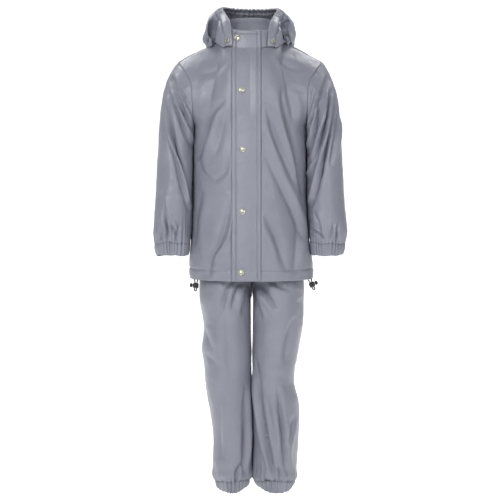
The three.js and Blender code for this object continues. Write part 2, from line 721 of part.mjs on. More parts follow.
// Sleeves: round tubes from the armhole seam, that settle into oval sections and hang down
function sleeveSurface(side, around, s) {
  const face = around <= 1 ? 'front' : 'back';
  const t = around <= 1 ? around : 2 - around;
  const start = sample(ARMHOLE[face], 't', clamp(t, 0, 1));
  start.x += 2 * SEAM_GAP;
  start.z -= SEAM_GAP * (1 - t);
  const z = lerp(start.z, SLEEVE_END_Z, s);
  const oval = sample(SLEEVE, 'z', z);
  const turn = Math.PI * (1 - t);
  const settled = 1 - (1 - Math.min(1, s / SLEEVE_HEAD.reach)) ** SLEEVE_HEAD.power;
  const direction = face === 'front' ? -1 : 1;
  const x = lerp(start.x, oval.cx + oval.hx * Math.cos(turn), settled);
  const y = lerp(start.y, oval.cy + direction * oval.hy * Math.sin(turn), settled);
  const clear = smooth(0, 0.1, s) * smooth(0, 0.08, 1 - s) * smooth(2, 16, Math.abs(y - oval.cy));
  const shift = clear * foldDepth(SLEEVE_FOLDS, y < oval.cy ? 'front' : 'back', x, z);
  const reach = Math.hypot(x - oval.cx, y - oval.cy);
  const keep = 1 - shift / Math.max(reach, 1);
  return new THREE.Vector3(
    side * lerp(oval.cx, x, keep),
    lerp(oval.cy, y, keep),
    z,
  );
}
const sleeveColumns = range(2 * ARMHOLE_ROWS, 0, 2).slice(0, 2 * ARMHOLE_ROWS);
function ringNormal(surface, u, v, span, turn) {
  const wrapped = (a, b) => surface(((a % span) + span) % span, clamp(b, 0, 1));
  const alongU = wrapped(u + 0.02, v).sub(wrapped(u - 0.02, v));
  const alongV = wrapped(u, v + 0.01).sub(wrapped(u, v - 0.01));
  return alongU.cross(alongV).normalize().multiplyScalar(turn);
}
for (const [name, side] of [['sleeve_right', -1], ['sleeve_left', 1]]) {
  const surface = (around, s) => sleeveSurface(side, around, s);
  const normal = (around, s) => ringNormal(surface, around, s, 2, -side);
  add(name, wallOn(surface, normal, sleeveColumns, SLEEVE_ROWS, { isRound: true }), cloth);
}

// Elastic casings at the cuffs and ankles: an oval ring with even gathers. Its lower edge can dip
// at the front and the back.
function casing(name, { cx, cy, hx, hy, topZ, depth, dip, gathers, rows }) {
  const surface = (turn, v) => {
    const { spread } = sample(rows, 'v', v);
    const fall = (depth + dip * Math.sin(turn) ** 2) * v;
    return new THREE.Vector3(
      cx + hx * spread * Math.cos(turn),
      cy + hy * spread * Math.sin(turn),
      topZ - fall,
    );
  };
  const normal = (turn) => new THREE.Vector3(Math.cos(turn) / hx, Math.sin(turn) / hy, 0).normalize();
  const wave = (turn, v) => sample(rows, 'v', v).wave * Math.cos(gathers * turn);
  const turns = range(FACETS_A_GATHER * gathers, 0, 2 * Math.PI).slice(0, -1);
  add(name, gatheredWall(surface, normal, turns, rows.map((row) => row.v), wave, true), cloth);
}
const CUFF_PROFILE = [
  { v: 0, spread: 0.98, wave: 0.5 },
  { v: 0.5, spread: 0.93, wave: 1.6 },
  { v: 1, spread: 0.91, wave: 1.9 },
];
const cuffOval = sample(SLEEVE, 'z', SLEEVE_END_Z);
for (const [name, side] of [['cuff_right', -1], ['cuff_left', 1]]) {
  casing(name, {
    cx: side * cuffOval.cx,
    cy: cuffOval.cy,
    hx: cuffOval.hx - CLOTH / 2,
    hy: cuffOval.hy - CLOTH / 2,
    topZ: SLEEVE_END_Z - SEAM_GAP,
    rows: CUFF_PROFILE,
    ...CUFF,
  });
}

// Trousers: each half runs from the centre front (u = 0) round the outside to the centre back
// (u = 1). Below the crotch its section closes into the leg.
const LEG_SIDES = [['right', -1], ['left', 1]];
function legSurface(side, u, z) {
  const hip = sample(HIPS, 'z', Math.max(z, HIPS[0].z));
  const leg = sample(LEGS[side < 0 ? 'right' : 'left'], 'z', Math.min(z, CROTCH.z));
  const centre = CROTCH.x * smooth(WAIST_TOP_Z, CROTCH.z, z);
  const hipTurn = Math.PI * u;
  const hipDepth = u < 0.5 ? hip.front : hip.back;
  const hipX = centre + side * hip.half * Math.sin(hipTurn);
  const hipY = -hipDepth * Math.cos(hipTurn);
  const middle = (leg.inner + leg.outer) / 2;
  const legTurn = 2 * Math.PI * u;
  const legX = middle + (leg.inner - middle) * Math.cos(legTurn);
  const legY = leg.cy - leg.depth * Math.sin(legTurn);
  const close = clamp((CROTCH.startZ - z) / (CROTCH.startZ - CROTCH.z), 0, 1) ** CROTCH.power;
  const point = new THREE.Vector3(lerp(hipX, legX, close), lerp(hipY, legY, close), z);
  const clear = smooth(0, 0.06, u) * smooth(0, 0.06, 1 - u) * smooth(0, 0.06, Math.abs(u - 0.5));
  const shift = clear * foldDepth(TROUSER_FOLDS, u < 0.5 ? 'front' : 'back', point.x, z);
  point.y += u < 0.5 ? shift : -shift;
  return point;
}
function legNormal(side, u, z) {
  const alongU = legSurface(side, u + 0.004, z).sub(legSurface(side, u - 0.004, z));
  const alongZ = legSurface(side, u, z - 1).sub(legSurface(side, u, z + 1));
  return alongU.cross(alongZ).normalize().multiplyScalar(-side);
}
const waistBottom = WAIST_TOP_Z - WAIST_DEPTH;
const legRows = [waistBottom - SEAM_GAP, ...LEG_ROWS, LEG_END_Z];
for (const [sideName, side] of LEG_SIDES) {
  for (const [faceName, from, to] of [['front', 0, 0.5], ['back', 0.5, 1]]) {
    const us = range(LEG_COLUMNS, from, to);
    us[0] += SEAM_INSET;
    us[LEG_COLUMNS] -= SEAM_INSET;
    const surface = (u, z) => legSurface(side, u, z);
    const normal = (u, z) => legNormal(side, u, z);
    add(`trouser_${faceName}_${sideName}`, wallOn(surface, normal, us, legRows, {}), cloth);
  }
}

// Waistband casing: one ring round both halves
function waistSurface(around, v) {
  const side = around < 1 ? 1 : -1;
  const u = around < 1 ? around : 2 - around;
  return legSurface(side, u, WAIST_TOP_Z - WAIST_DEPTH * v);
}
function waistNormal(around) {
  const before = waistSurface(((around - 0.01) % 2 + 2) % 2, 0);
  const along = waistSurface((around + 0.01) % 2, 0).sub(before);
  return new THREE.Vector3(along.y, -along.x, 0).normalize();
}
add('trouser_waistband', wallOn(
  waistSurface,
  waistNormal,
  range(4 * LEG_COLUMNS, 0, 2).slice(0, 4 * LEG_COLUMNS),
  [0, 0.5, 1],
  { isRound: true },
), cloth);

const ANKLE_PROFILE = [
  { v: 0, spread: 0.98, wave: 0.5 },
  { v: 0.5, spread: 0.9, wave: 1.7 },
  { v: 1, spread: 0.82, wave: 2 },
];
for (const [sideName] of LEG_SIDES) {
  const end = sample(LEGS[sideName], 'z', LEG_END_Z);
  casing(`ankle_${sideName}`, {
    cx: (end.inner + end.outer) / 2,
    cy: end.cy,
    hx: Math.abs(end.outer - end.inner) / 2 - CLOTH / 2,
    hy: end.depth - CLOTH / 2,
    topZ: LEG_END_Z - SEAM_GAP,
    rows: ANKLE_PROFILE,
    ...ANKLE,
  });
}

// Hood snaps, on the hood's front ends
for (const [name, side] of [['hood_snap_right', -1], ['hood_snap_left', 1]]) {
  const { at, s, lift } = HOOD_SNAP_PLACE;
  const out = hoodNormal(side, at, s);
  addSnap(name, hoodPoint(side, at, s).addScaledVector(out, lift), out, HOOD_SNAP_RADIUS);
}

// Hem drawcord: a short loop below each side of the hem, through a sprung cord lock
function solidOf(geometry) {
  const merged = closed(geometry);
  return new wasm.Manifold(new wasm.Mesh({
    numProp: 3,
    vertProperties: new Float32Array(merged.attributes.position.array),
    triVerts: new Uint32Array(merged.index.array),
  }));
}
function geometryOf(solid) {
  const mesh = solid.getMesh();
  const geometry = new THREE.BufferGeometry();
  geometry.setAttribute('position', new THREE.Float32BufferAttribute(mesh.vertProperties, 3));
  geometry.setIndex(Array.from(mesh.triVerts));
  return geometry;
}
const CORD_ROUTE = [
  { x: 3.2, z: -0.6 }, { x: 3.1, z: -3 }, { x: 2.3, z: -6 }, { x: 1.7, z: -8.5 }, { x: 1.6, z: -12 },
  { x: 1.6, z: -16 }, { x: 1.9, z: -19.5 }, { x: 2.4, z: -21.5 }, { x: 1.7, z: -23.6 }, { x: 0, z: -24.6 },
];
function cordRoute() {
  const half = CORD_ROUTE.map(({ x, z }) => new THREE.Vector3(x, 0, z));
  const other = half.slice(0, -1).reverse().map((point) => new THREE.Vector3(-point.x, 0, point.z));
  return new THREE.CatmullRomCurve3([...half, ...other], false, 'centripetal');
}
for (const { side, x, tilt, plunger } of CORD_LOCKS) {
  const bodySide = Math.sign(x);
  const u = columnAt(bodySide, 'front', x, 0);
  const exit = bodySurface(bodySide, 'front', u, 0);
  const inward = bodyNormal(bodySide, 'front', u, 0).multiplyScalar(-CLOTH / 2);
  exit.add(inward);
  const place = (mesh) => {
    mesh.position.copy(exit);
    mesh.rotation.set(0, radians(tilt), 0);
  };
  const section = new THREE.Shape();
  section.absarc(0, 0, CORD_RADIUS, 0, 2 * Math.PI, false);
  const cord = new THREE.ExtrudeGeometry(section, { steps: 20, curveSegments: 4, extrudePath: cordRoute() });
  place(add(`drawcord_${side}`, closed(cord), blackCord));

  const barrel = new THREE.CylinderGeometry(LOCK.radius, LOCK.radius, LOCK.length, 16);
  barrel.rotateZ(Math.PI / 2);
  barrel.translate(0, 0, -LOCK.drop);
  const slot = new THREE.BoxGeometry(6.6, 3.2, 4 * LOCK.radius);
  slot.translate(0, 0, -LOCK.drop);
  place(add(`cord_lock_${side}`, geometryOf(solidOf(barrel).subtract(solidOf(slot))), blackPlastic));

  const button = new THREE.CylinderGeometry(LOCK.plungerRadius, LOCK.plungerRadius, LOCK.plungerLength, 14);
  button.rotateZ(Math.PI / 2);
  button.translate(plunger * (LOCK.length / 2 + LOCK.plungerLength / 2 + SEAM_GAP), 0, -LOCK.drop);
  place(add(`lock_plunger_${side}`, closed(button), blackPlastic));
}

export default suit;
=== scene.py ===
"""A child's rain suit, worn and filled out: its cloth, sewing and fastenings."""
import logging
import math
from dataclasses import dataclass
from enum import Enum
from typing import Optional, Sequence

import bmesh
import bpy
import numpy as np
from mathutils import Matrix, Vector


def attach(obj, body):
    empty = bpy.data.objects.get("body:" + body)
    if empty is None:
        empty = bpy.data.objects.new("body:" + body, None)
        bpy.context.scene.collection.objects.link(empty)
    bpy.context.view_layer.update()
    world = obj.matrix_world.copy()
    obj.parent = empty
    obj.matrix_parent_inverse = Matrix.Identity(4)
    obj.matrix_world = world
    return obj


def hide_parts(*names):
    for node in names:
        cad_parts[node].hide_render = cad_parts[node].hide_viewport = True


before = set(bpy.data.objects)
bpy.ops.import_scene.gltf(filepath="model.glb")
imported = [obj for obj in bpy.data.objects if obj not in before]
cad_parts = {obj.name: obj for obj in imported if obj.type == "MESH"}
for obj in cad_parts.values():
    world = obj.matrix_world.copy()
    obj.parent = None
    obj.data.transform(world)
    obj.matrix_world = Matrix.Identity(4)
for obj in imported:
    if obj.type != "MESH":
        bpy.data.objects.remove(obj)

LOG = logging.getLogger("rain_suit")
Array = np.ndarray
Colour = tuple[float, float, float]
MM = 0.001


class Side(Enum):
    """The wearer's right or left."""

    RIGHT = -1
    LEFT = 1


class Face(Enum):
    """The front or the back of the suit."""

    FRONT = -1
    BACK = 1


class Edge(Enum):
    """An edge of a grid of cloth."""

    LOW = "low"
    HIGH = "high"
    LEFT = "left"
    RIGHT = "right"

    @property
    def is_side(self) -> bool:
        """Whether it runs up the cloth."""
        return self in (Edge.LEFT, Edge.RIGHT)

    @property
    def is_last(self) -> bool:
        """Whether it ends the rows or the columns."""
        return self in (Edge.HIGH, Edge.RIGHT)


class Held(Enum):
    """How a cloth piece is held."""

    STRETCHED = "stretched"
    GATHERED = "gathered"


def lerp(a: Array, b: Array, t: Array) -> Array:
    """The value a share t of the way from a to b."""
    return a + (b - a) * t


def smooth(low: float, high: float, value: Array) -> Array:
    """A soft step from 0 at low to 1 at high."""
    t = np.clip((value - low) / (high - low), 0.0, 1.0)
    return t * t * (3 - 2 * t)


def bump(distance: Array, width: float) -> Array:
    """A soft bell over a distance."""
    return np.exp(-((distance / width) ** 2))


def points(x: Array, y: Array, z: Array) -> Array:
    """Coordinates put together as points."""
    return np.stack(np.broadcast_arrays(x, y, z), axis=-1).astype(float)


def unit(vectors: Array) -> Array:
    """Vectors scaled to a length of 1."""
    return vectors / np.maximum(np.linalg.norm(vectors, axis=-1, keepdims=True), 1e-12)


def spline(knots: Array, steps: int) -> Array:
    """A smooth line through knots, with centripetal spacing.

    Args:
        knots: The points it passes through, or several lines of them side by side.
        steps: Points for each stretch.

    Returns:
        The line's points.
    """
    ends = np.concatenate([[2 * knots[0] - knots[1]], knots, [2 * knots[-1] - knots[-2]]])
    e = np.linspace(0, 1, steps, endpoint=False).reshape((-1,) + (1,) * (knots.ndim - 1))
    line = []
    for a, b, c, d in zip(ends, ends[1:], ends[2:], ends[3:]):
        g0, g1, g2 = (
            np.maximum(np.linalg.norm(q - p, axis=-1, keepdims=True) ** 0.5, 1e-4)
            for p, q in ((a, b), (b, c), (c, d))
        )
        m1 = ((b - a) / g0 - (c - a) / (g0 + g1) + (c - b) / g1) * g1
        m2 = ((c - b) / g1 - (d - b) / (g1 + g2) + (d - c) / g2) * g1
        line.append(
            b * (2 * e**3 - 3 * e**2 + 1) + m1 * (e**3 - 2 * e**2 + e)
            + c * (-2 * e**3 + 3 * e**2) + m2 * (e**3 - e**2)
        )
    return np.concatenate([*line, knots[-1:]])


class Table:
    """Rows of sizes, read on a smooth curve through them. The first column is the key."""

    def __init__(self, columns: str, rows: Sequence[Sequence[float]]) -> None:
        """Keeps the rows under their column names."""
        self.columns = columns.split()
        self.rows = np.array(rows, float)

    def at(self, value: Array) -> dict[str, Array]:
        """Reads every column at a value of the key.

        Args:
            value: Where to read, a number or an array.

        Returns:
            The columns by name.
        """
        key = self.rows[:, 0]
        last = len(key) - 1
        i = np.clip(np.searchsorted(key, value, side="left") - 1, 0, last - 1)
        before, after = np.maximum(i - 1, 0), np.minimum(i + 2, last)
        span = key[i + 1] - key[i]
        t = (value - key[i]) / span
        row = {}
        for index, name in enumerate(self.columns):
            c = self.rows[:, index]
            slope_from = (c[i + 1] - c[before]) / (key[i + 1] - key[before]) * span
            slope_to = (c[after] - c[i]) / (key[after] - key[i]) * span
            row[name] = (
                c[i] * (2 * t**3 - 3 * t**2 + 1)
                + slope_from * (t**3 - 2 * t**2 + t)
                + c[i + 1] * (-2 * t**3 + 3 * t**2)
                + slope_to * (t**3 - t**2)
            )
        return row

    def row(self, value: float) -> dict[str, float]:
        """Reads every column at one value of the key."""
        return {name: float(number) for name, number in self.at(np.array(value)).items()}


# Large odd numbers that mix a lattice corner's place into an even spread of values.
NOISE_PRIMES = (73856093, 19349663, 83492791)
NOISE_SEED_PRIME = 2654435761
NOISE_MIX = 1274126177


def grain_noise(place: Array, size: float, seed: int) -> Array:
    """Soft lumps without a pattern.

    Args:
        place: Points in millimetres.
        size: How far apart the lumps are.
        seed: Picks one set of lumps.

    Returns:
        A height from about -1 to 1 at each point.
    """
    cell = place / size
    base = np.floor(cell).astype(np.int64)
    t = cell - base
    t = t * t * (3 - 2 * t)
    total = np.zeros(place.shape[:-1])
    for corner in range(8):
        offset = np.array([corner & 1, (corner >> 1) & 1, corner >> 2])
        x, y, z = np.moveaxis((base + offset) * NOISE_PRIMES, -1, 0)
        mixed = x ^ y ^ z ^ (seed * NOISE_SEED_PRIME)
        mixed = (mixed ^ (mixed >> 13)) * NOISE_MIX & 0xFFFFFFFF
        value = ((mixed ^ (mixed >> 16)) & 0xFFFF) / 32767.5 - 1
        share = np.prod(np.where(offset == 1, t, 1 - t), axis=-1)
        total += value * share
    return total


# In crease widths: how far a crease is worked out, and where its ridge lies and how wide it is.
CREASE_REACH = 5
LIP_PLACE = 1.8
LIP_WIDTH = 1.15
# How sharp a trough is, and how fast a crease fades towards its ends.
TROUGH_POWER = 1.3
FADE_POWER = 0.75


@dataclass(frozen=True)
class Crease:
    """A soft trough seen from the front or back, with a ridge along one side of it.

    The path runs down the cloth in millimetres, (x, z) by (x, z). The ridge lies on its +x side
    where it is above 0, and on its -x side where it is below. The peak is where the trough is deepest.
    """

    path: tuple[tuple[float, float], ...]
    width: float = 6.0
    depth: float = 3.0
    ridge: float = 0.6
    peak: float = 0.5

    def height(self, x: Array, z: Array) -> Array:
        """Height of the cloth over its plain form.

        Args:
            x: Sideways place in millimetres.
            z: Level in millimetres.

        Returns:
            The height in millimetres, below 0 in the trough.
        """
        line = spline(np.array(self.path, float), 5)
        reach = CREASE_REACH * self.width
        near = (x > line[:, 0].min() - reach) & (x < line[:, 0].max() + reach)
        near &= (z > line[:, 1].min() - reach) & (z < line[:, 1].max() + reach)
        height = np.zeros(x.shape)
        if not near.any():
            return height
        spot = np.stack([x[near], z[near]], axis=-1)
        steps = np.linalg.norm(np.diff(line, axis=0), axis=-1)
        run = np.pad(np.cumsum(steps), (1, 0)) / steps.sum()
        best = np.full(len(spot), np.inf)
        away, share = np.zeros(len(spot)), np.zeros(len(spot))
        for start, end, low, high in zip(line, line[1:], run, run[1:]):
            way = end - start
            t = np.clip((spot - start) @ way / (way @ way), 0, 1)
            gap = spot - start - t[:, None] * way
            distance = np.hypot(gap[:, 0], gap[:, 1])
            side = np.sign(way[0] * gap[:, 1] - way[1] * gap[:, 0])
            closer = distance < best
            best = np.where(closer, distance, best)
            away = np.where(closer, distance * side, away)
            share = np.where(closer, lerp(low, high, t), share)
        fade = np.sin(math.pi * share ** (math.log(0.5) / math.log(self.peak))).clip(0) ** FADE_POWER
        lip = math.copysign(LIP_PLACE * self.width, self.ridge)
        trough = np.exp(-(np.abs(away) / self.width) ** TROUGH_POWER)
        ridge = abs(self.ridge) * bump(away - lip, LIP_WIDTH * self.width)
        height[near] = self.depth * fade * (ridge - trough)
        return height


def crease_height(creases: Sequence[Crease], x: Array, z: Array) -> Array:
    """The heights of several creases together.

    Args:
        creases: The creases.
        x: Sideways places in millimetres.
        z: Levels in millimetres.

    Returns:
        The height at each place.
    """
    total = np.zeros(x.shape)
    for crease in creases:
        total += crease.height(x, z)
    return total


def gathers(turn: Array, count: float, seed: float) -> Array:
    """Uneven gathers at angles round a ring, from -1 to 1."""
    phase = count * turn + 1.5 * np.sin(3 * turn + seed) + 1.0 * np.sin(7 * turn + 2 * seed)
    return (2 * np.abs(np.cos(phase / 2)) - 1) * (0.75 + 0.25 * np.sin(5 * turn + seed))


def gather_length(turn: Array, seed: float) -> Array:
    """How far gathers run up from their seam in millimetres, at angles round it."""
    return 21 + 8 * np.sin(4 * turn + seed) + 6 * np.sin(9 * turn + 3 * seed)


def sag(turn: Array, seed: float) -> Array:
    """How far a gathered seam lies above its plain level in millimetres, at angles round it."""
    return 1.5 * np.sin(2 * turn + seed) + 1.0 * np.sin(5 * turn + 2 * seed)


def spaced(start: float, end: float, count: int, crowd: float = 0.45) -> Array:
    """Evenly spread values that crowd together towards both ends."""
    t = np.linspace(0, 1, count)
    return lerp(start, end, t - crowd * np.sin(2 * math.pi * t) / (2 * math.pi))


# In millimetres.
CLOTH_THICKNESS = 0.8


class Cloth:
    """A grid of cloth, rows from its first edge to its last, that is shaped and then made a mesh."""

    def __init__(self, place: Array, turn: int, is_round: bool = False) -> None:
        """Takes the plain form.

        Args:
            place: Points in millimetres, rows by columns.
            turn: 1 or -1, the side of the grid that faces out.
            is_round: Whether the last column meets the first one.
        """
        self.place = place
        self.turn = turn
        self.is_round = is_round
        self.measure()

    def measure(self) -> None:
        """Works out the lengths along the rows and the columns."""
        step_u = np.linalg.norm(np.diff(self.place, axis=1), axis=-1)
        step_v = np.linalg.norm(np.diff(self.place, axis=0), axis=-1)
        self.run_u = np.pad(np.cumsum(step_u, axis=1), ((0, 0), (1, 0)))
        self.run_v = np.pad(np.cumsum(step_v, axis=0), ((1, 0), (0, 0)))
        self.left = self.run_u
        self.right = self.run_u[:, -1:] - self.run_u
        self.low = self.run_v
        self.high = self.run_v[-1:] - self.run_v

    def out(self) -> Array:
        """Works out the way that the cloth faces.

        Returns:
            The unit vectors that point out of it.
        """
        if self.is_round:
            ring = self.place[:, :-1]
            along_u = np.roll(ring, -1, axis=1) - np.roll(ring, 1, axis=1)
            along_u = np.concatenate([along_u, along_u[:, :1]], axis=1)
        else:
            along_u = np.gradient(self.place, axis=1)
        return unit(np.cross(along_u, np.gradient(self.place, axis=0))) * self.turn

    def lift(self, height: Array) -> "Cloth":
        """Moves the cloth out by a height at each point."""
        self.place = self.place + self.out() * np.asarray(height)[..., None]
        return self

    def crumple(self, height: float, size: float, seed: int) -> "Cloth":
        """Adds uneven soft crumples that run on over the seams.

        Args:
            height: How high they stand, in millimetres.
            size: How far apart they are, in millimetres.
            seed: Picks one set of crumples.

        Returns:
            The same cloth.
        """
        warp = np.stack([grain_noise(self.place, size * 1.7, seed + k) for k in (1, 2, 3)], -1)
        lumps = grain_noise(self.place + warp * size * 0.6, size, seed)
        return self.lift(height * (1 - 2 * np.abs(lumps)) * 0.7 + height * 0.3 * warp[..., 0])

    def drape(self, height: float, size: float, seed: int) -> "Cloth":
        """Adds long soft waves that hang down the cloth.

        Args:
            height: How high they stand, in millimetres.
            size: How far apart they are, in millimetres.
            seed: Picks one set of waves.

        Returns:
            The same cloth.
        """
        tall = self.place * (1, 1, 0.5)
        wave = grain_noise(tall, size, seed) + 0.5 * grain_noise(tall, size / 2, seed + 7)
        return self.lift(height * wave)

    def from_edge(self, edge: Edge) -> tuple[Array, Array, Array]:
        """Turns the grid so that its rows run inwards from an edge.

        Args:
            edge: The edge.

        Returns:
            The distances from that edge, the points and the outward vectors.
        """
        parts = [getattr(self, edge.value), self.place, self.out()]
        if edge.is_side:
            parts = [np.swapaxes(part, 0, 1) for part in parts]
        if edge.is_last:
            parts = [part[::-1] for part in parts]
        return tuple(parts)

    def line(self, along: Edge, offset: float) -> tuple[Array, Array]:
        """A line on the cloth at a distance from one of its edges.

        Args:
            along: The edge.
            offset: The distance from that edge in millimetres.

        Returns:
            Its points, and the outward vectors at them.
        """
        runs, place, out = self.from_edge(along)
        spots, sides = [], []
        for column in range(runs.shape[1]):
            run = runs[:, column]
            spots.append([np.interp(offset, run, place[:, column, k]) for k in range(3)])
            sides.append([np.interp(offset, run, out[:, column, k]) for k in range(3)])
        return np.array(spots), unit(np.array(sides))

    def fold(self, edge: Edge, radius: float, depth: float, stride: int = 3) -> "Cloth":
        """Folds an edge to the inside, as a hem is.

        Args:
            edge: The edge.
            radius: Half the way between the two layers.
            depth: How wide the inner layer is.
            stride: How many rows each row of the inner layer spans.

        Returns:
            The same cloth.
        """
        run, place, out = self.from_edge(edge)
        away = unit(place[0] - place[1])
        rows = []
        for angle in np.radians([45, 90, 135, 180]):
            round_in = away * math.sin(angle) - out[0] * (1 - math.cos(angle))
            rows.append(place[0] + round_in * radius)
        count = int(np.argmax(run.mean(axis=1) > depth)) or len(run) - 1
        for row in range(stride, count, stride):
            rows.append(place[row] - out[row] * 2 * radius)
        place = np.concatenate([np.array(rows)[::-1], place])
        if edge.is_last:
            place = place[::-1]
        self.place = np.swapaxes(place, 0, 1) if edge.is_side else place
        return self

    def mesh(self, name: str, material: bpy.types.Material) -> bpy.types.Object:
        """Makes the cloth's object, a wall that is thickened inwards.

        Args:
            name: The piece's name.
            material: Its finish.

        Returns:
            The object, which rides on the suit.
        """
        rows, columns = self.place.shape[:2]
        self.measure()
        work = bmesh.new()
        work.loops.layers.uv.new("cut")
        bmesh.ops.create_grid(work, x_segments=columns - 1, y_segments=rows - 1, size=1.0)
        plain = bpy.data.meshes.new(name + "_plain")
        work.to_mesh(plain)
        spots = np.empty(3 * len(plain.vertices), np.float32)
        plain.vertices.foreach_get("co", spots)
        share = (spots.reshape(-1, 3) + 1) / 2
        column = np.rint(share[:, 0] * (columns - 1)).astype(int)
        row = np.rint(share[:, 1] * (rows - 1)).astype(int)
        plain.vertices.foreach_set("co", (self.place[row, column] * MM).ravel())
        corners = np.empty(len(plain.loops), np.int32)
        plain.loops.foreach_get("vertex_index", corners)
        cut = np.stack([self.run_u[rows // 2][column], self.run_v[:, columns // 2][row]], axis=-1) * MM
        plain.uv_layers["cut"].data.foreach_set("uv", cut[corners].ravel())
        work.clear()
        work.from_mesh(plain)
        bpy.data.meshes.remove(plain)
        if self.is_round:
            bmesh.ops.remove_doubles(work, verts=work.verts, dist=1e-6)
        if self.turn < 0:
            bmesh.ops.reverse_faces(work, faces=work.faces)
        for face in work.faces:
            face.smooth = True
        piece = finished(work, name, material)
        wall = piece.modifiers.new("wall", "SOLIDIFY")
        wall.thickness = CLOTH_THICKNESS * MM
        wall.offset = -1
        return piece


@dataclass(frozen=True)
class Softness:
    """Long waves and small crumples, in millimetres, that neighbouring pieces share."""

    wave: float
    wave_size: float
    crumple: float
    crumple_size: float
    wave_seed: int
    crumple_seed: int

    def soften(self, cloth: Cloth) -> None:
        """Adds the waves and the crumples to a cloth."""
        cloth.drape(self.wave, self.wave_size, self.wave_seed)
        cloth.crumple(self.crumple, self.crumple_size, self.crumple_seed)


@dataclass(frozen=True)
class Oval:
    """A level oval seam: its middle, its half sizes and its level, in millimetres."""

    cx: float
    cy: float
    hx: float
    hy: float
    z: float

    def turn(self, x: Array, y: Array) -> Array:
        """The angles at which places lie, seen from the middle."""
        return np.arctan2((y - self.cy) / self.hy, (x - self.cx) / self.hx)


@dataclass(frozen=True)
class Elastic:
    """The uneven gathers that an elastic makes at a round seam, and the seam's sag."""

    oval: Oval
    count: int
    height: float
    seed: float
    fall_off: float = 1.4
    settle_reach: float = 60

    def puckers(self, turn: Array, cloth: Cloth) -> Array:
        """The relief of the gathers, which run up from the seam at the cloth's high edge."""
        reach = np.exp(-(cloth.high / gather_length(turn, self.seed)) ** self.fall_off)
        return self.height * gathers(turn, self.count, self.seed) * reach

    def settle(self, turn: Array, cloth: Cloth) -> None:
        """Moves the cloth by the sag of the seam at its high edge."""
        cloth.place[..., 2] += sag(turn, self.seed) * (1 - smooth(0, self.settle_reach, cloth.high))


def finished(work: bmesh.types.BMesh, name: str, material: bpy.types.Material) -> bpy.types.Object:
    """Turns a bmesh into a piece of the suit.

    Args:
        work: The shape, in metres.
        name: The piece's name.
        material: Its finish.

    Returns:
        The object, which rides on the suit.
    """
    mesh = bpy.data.meshes.new(name)
    work.to_mesh(mesh)
    work.free()
    mesh.materials.append(material)
    piece = bpy.data.objects.new(name, mesh)
    bpy.context.scene.collection.objects.link(piece)
    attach(piece, "root")
    LOG.info("%s: %d faces", name, len(mesh.polygons))
    return piece


class Shader:
    """A material's nodes, made and joined in few words."""

    def __init__(self, name: str) -> None:
        """Starts a material with its shader and output.

        Args:
            name: The material's name.
        """
        self.material = bpy.data.materials.new(name)
        self.material.use_nodes = True
        self.tree = self.material.node_tree
        self.base = self.tree.nodes["Principled BSDF"]

    def node(self, kind: str, **settings: object) -> bpy.types.Node:
        """Adds a node and sets its properties or sockets.

        Args:
            kind: The node's type, without its Shader Node prefix.
            settings: Properties, or inputs by name with _ for a space.

        Returns:
            The node.
        """
        made = self.tree.nodes.new("ShaderNode" + kind)
        for key, value in settings.items():
            socket = made.inputs.get(key.replace("_", " "))
            if hasattr(made, key) and socket is None:
                setattr(made, key, value)
            elif isinstance(value, bpy.types.NodeSocket):
                self.tree.links.new(value, socket)
            else:
                socket.default_value = value
        return made

    def join(self, source: bpy.types.NodeSocket, target: bpy.types.NodeSocket) -> None:
        """Links two sockets."""
        self.tree.links.new(source, target)

    def mix(self, factor: bpy.types.NodeSocket, low: Colour, high: Colour) -> bpy.types.NodeSocket:
        """Mixes two colours.

        Args:
            factor: Where it is 0 the low colour shows, and where it is 1 the high one.
            low: Red, green and blue.
            high: Red, green and blue.

        Returns:
            The mixed colour.
        """
        made = self.tree.nodes.new("ShaderNodeMix")
        made.data_type = "RGBA"
        self.join(factor, made.inputs["Factor"])
        for name, colour in (("A", low), ("B", high)):
            socket = next(s for s in made.inputs if s.name == name and s.type == "RGBA")
            socket.default_value = (*colour, 1.0)
        return next(s for s in made.outputs if s.type == "RGBA")

    def set(self, **values: object) -> None:
        """Sets or links the shader's own sockets.

        Args:
            values: Numbers, colours or sockets, by the input's name with _ for a space.
        """
        for key, value in values.items():
            socket = self.base.inputs[key.replace("_", " ")]
            if isinstance(value, bpy.types.NodeSocket):
                self.join(value, socket)
            else:
                socket.default_value = value


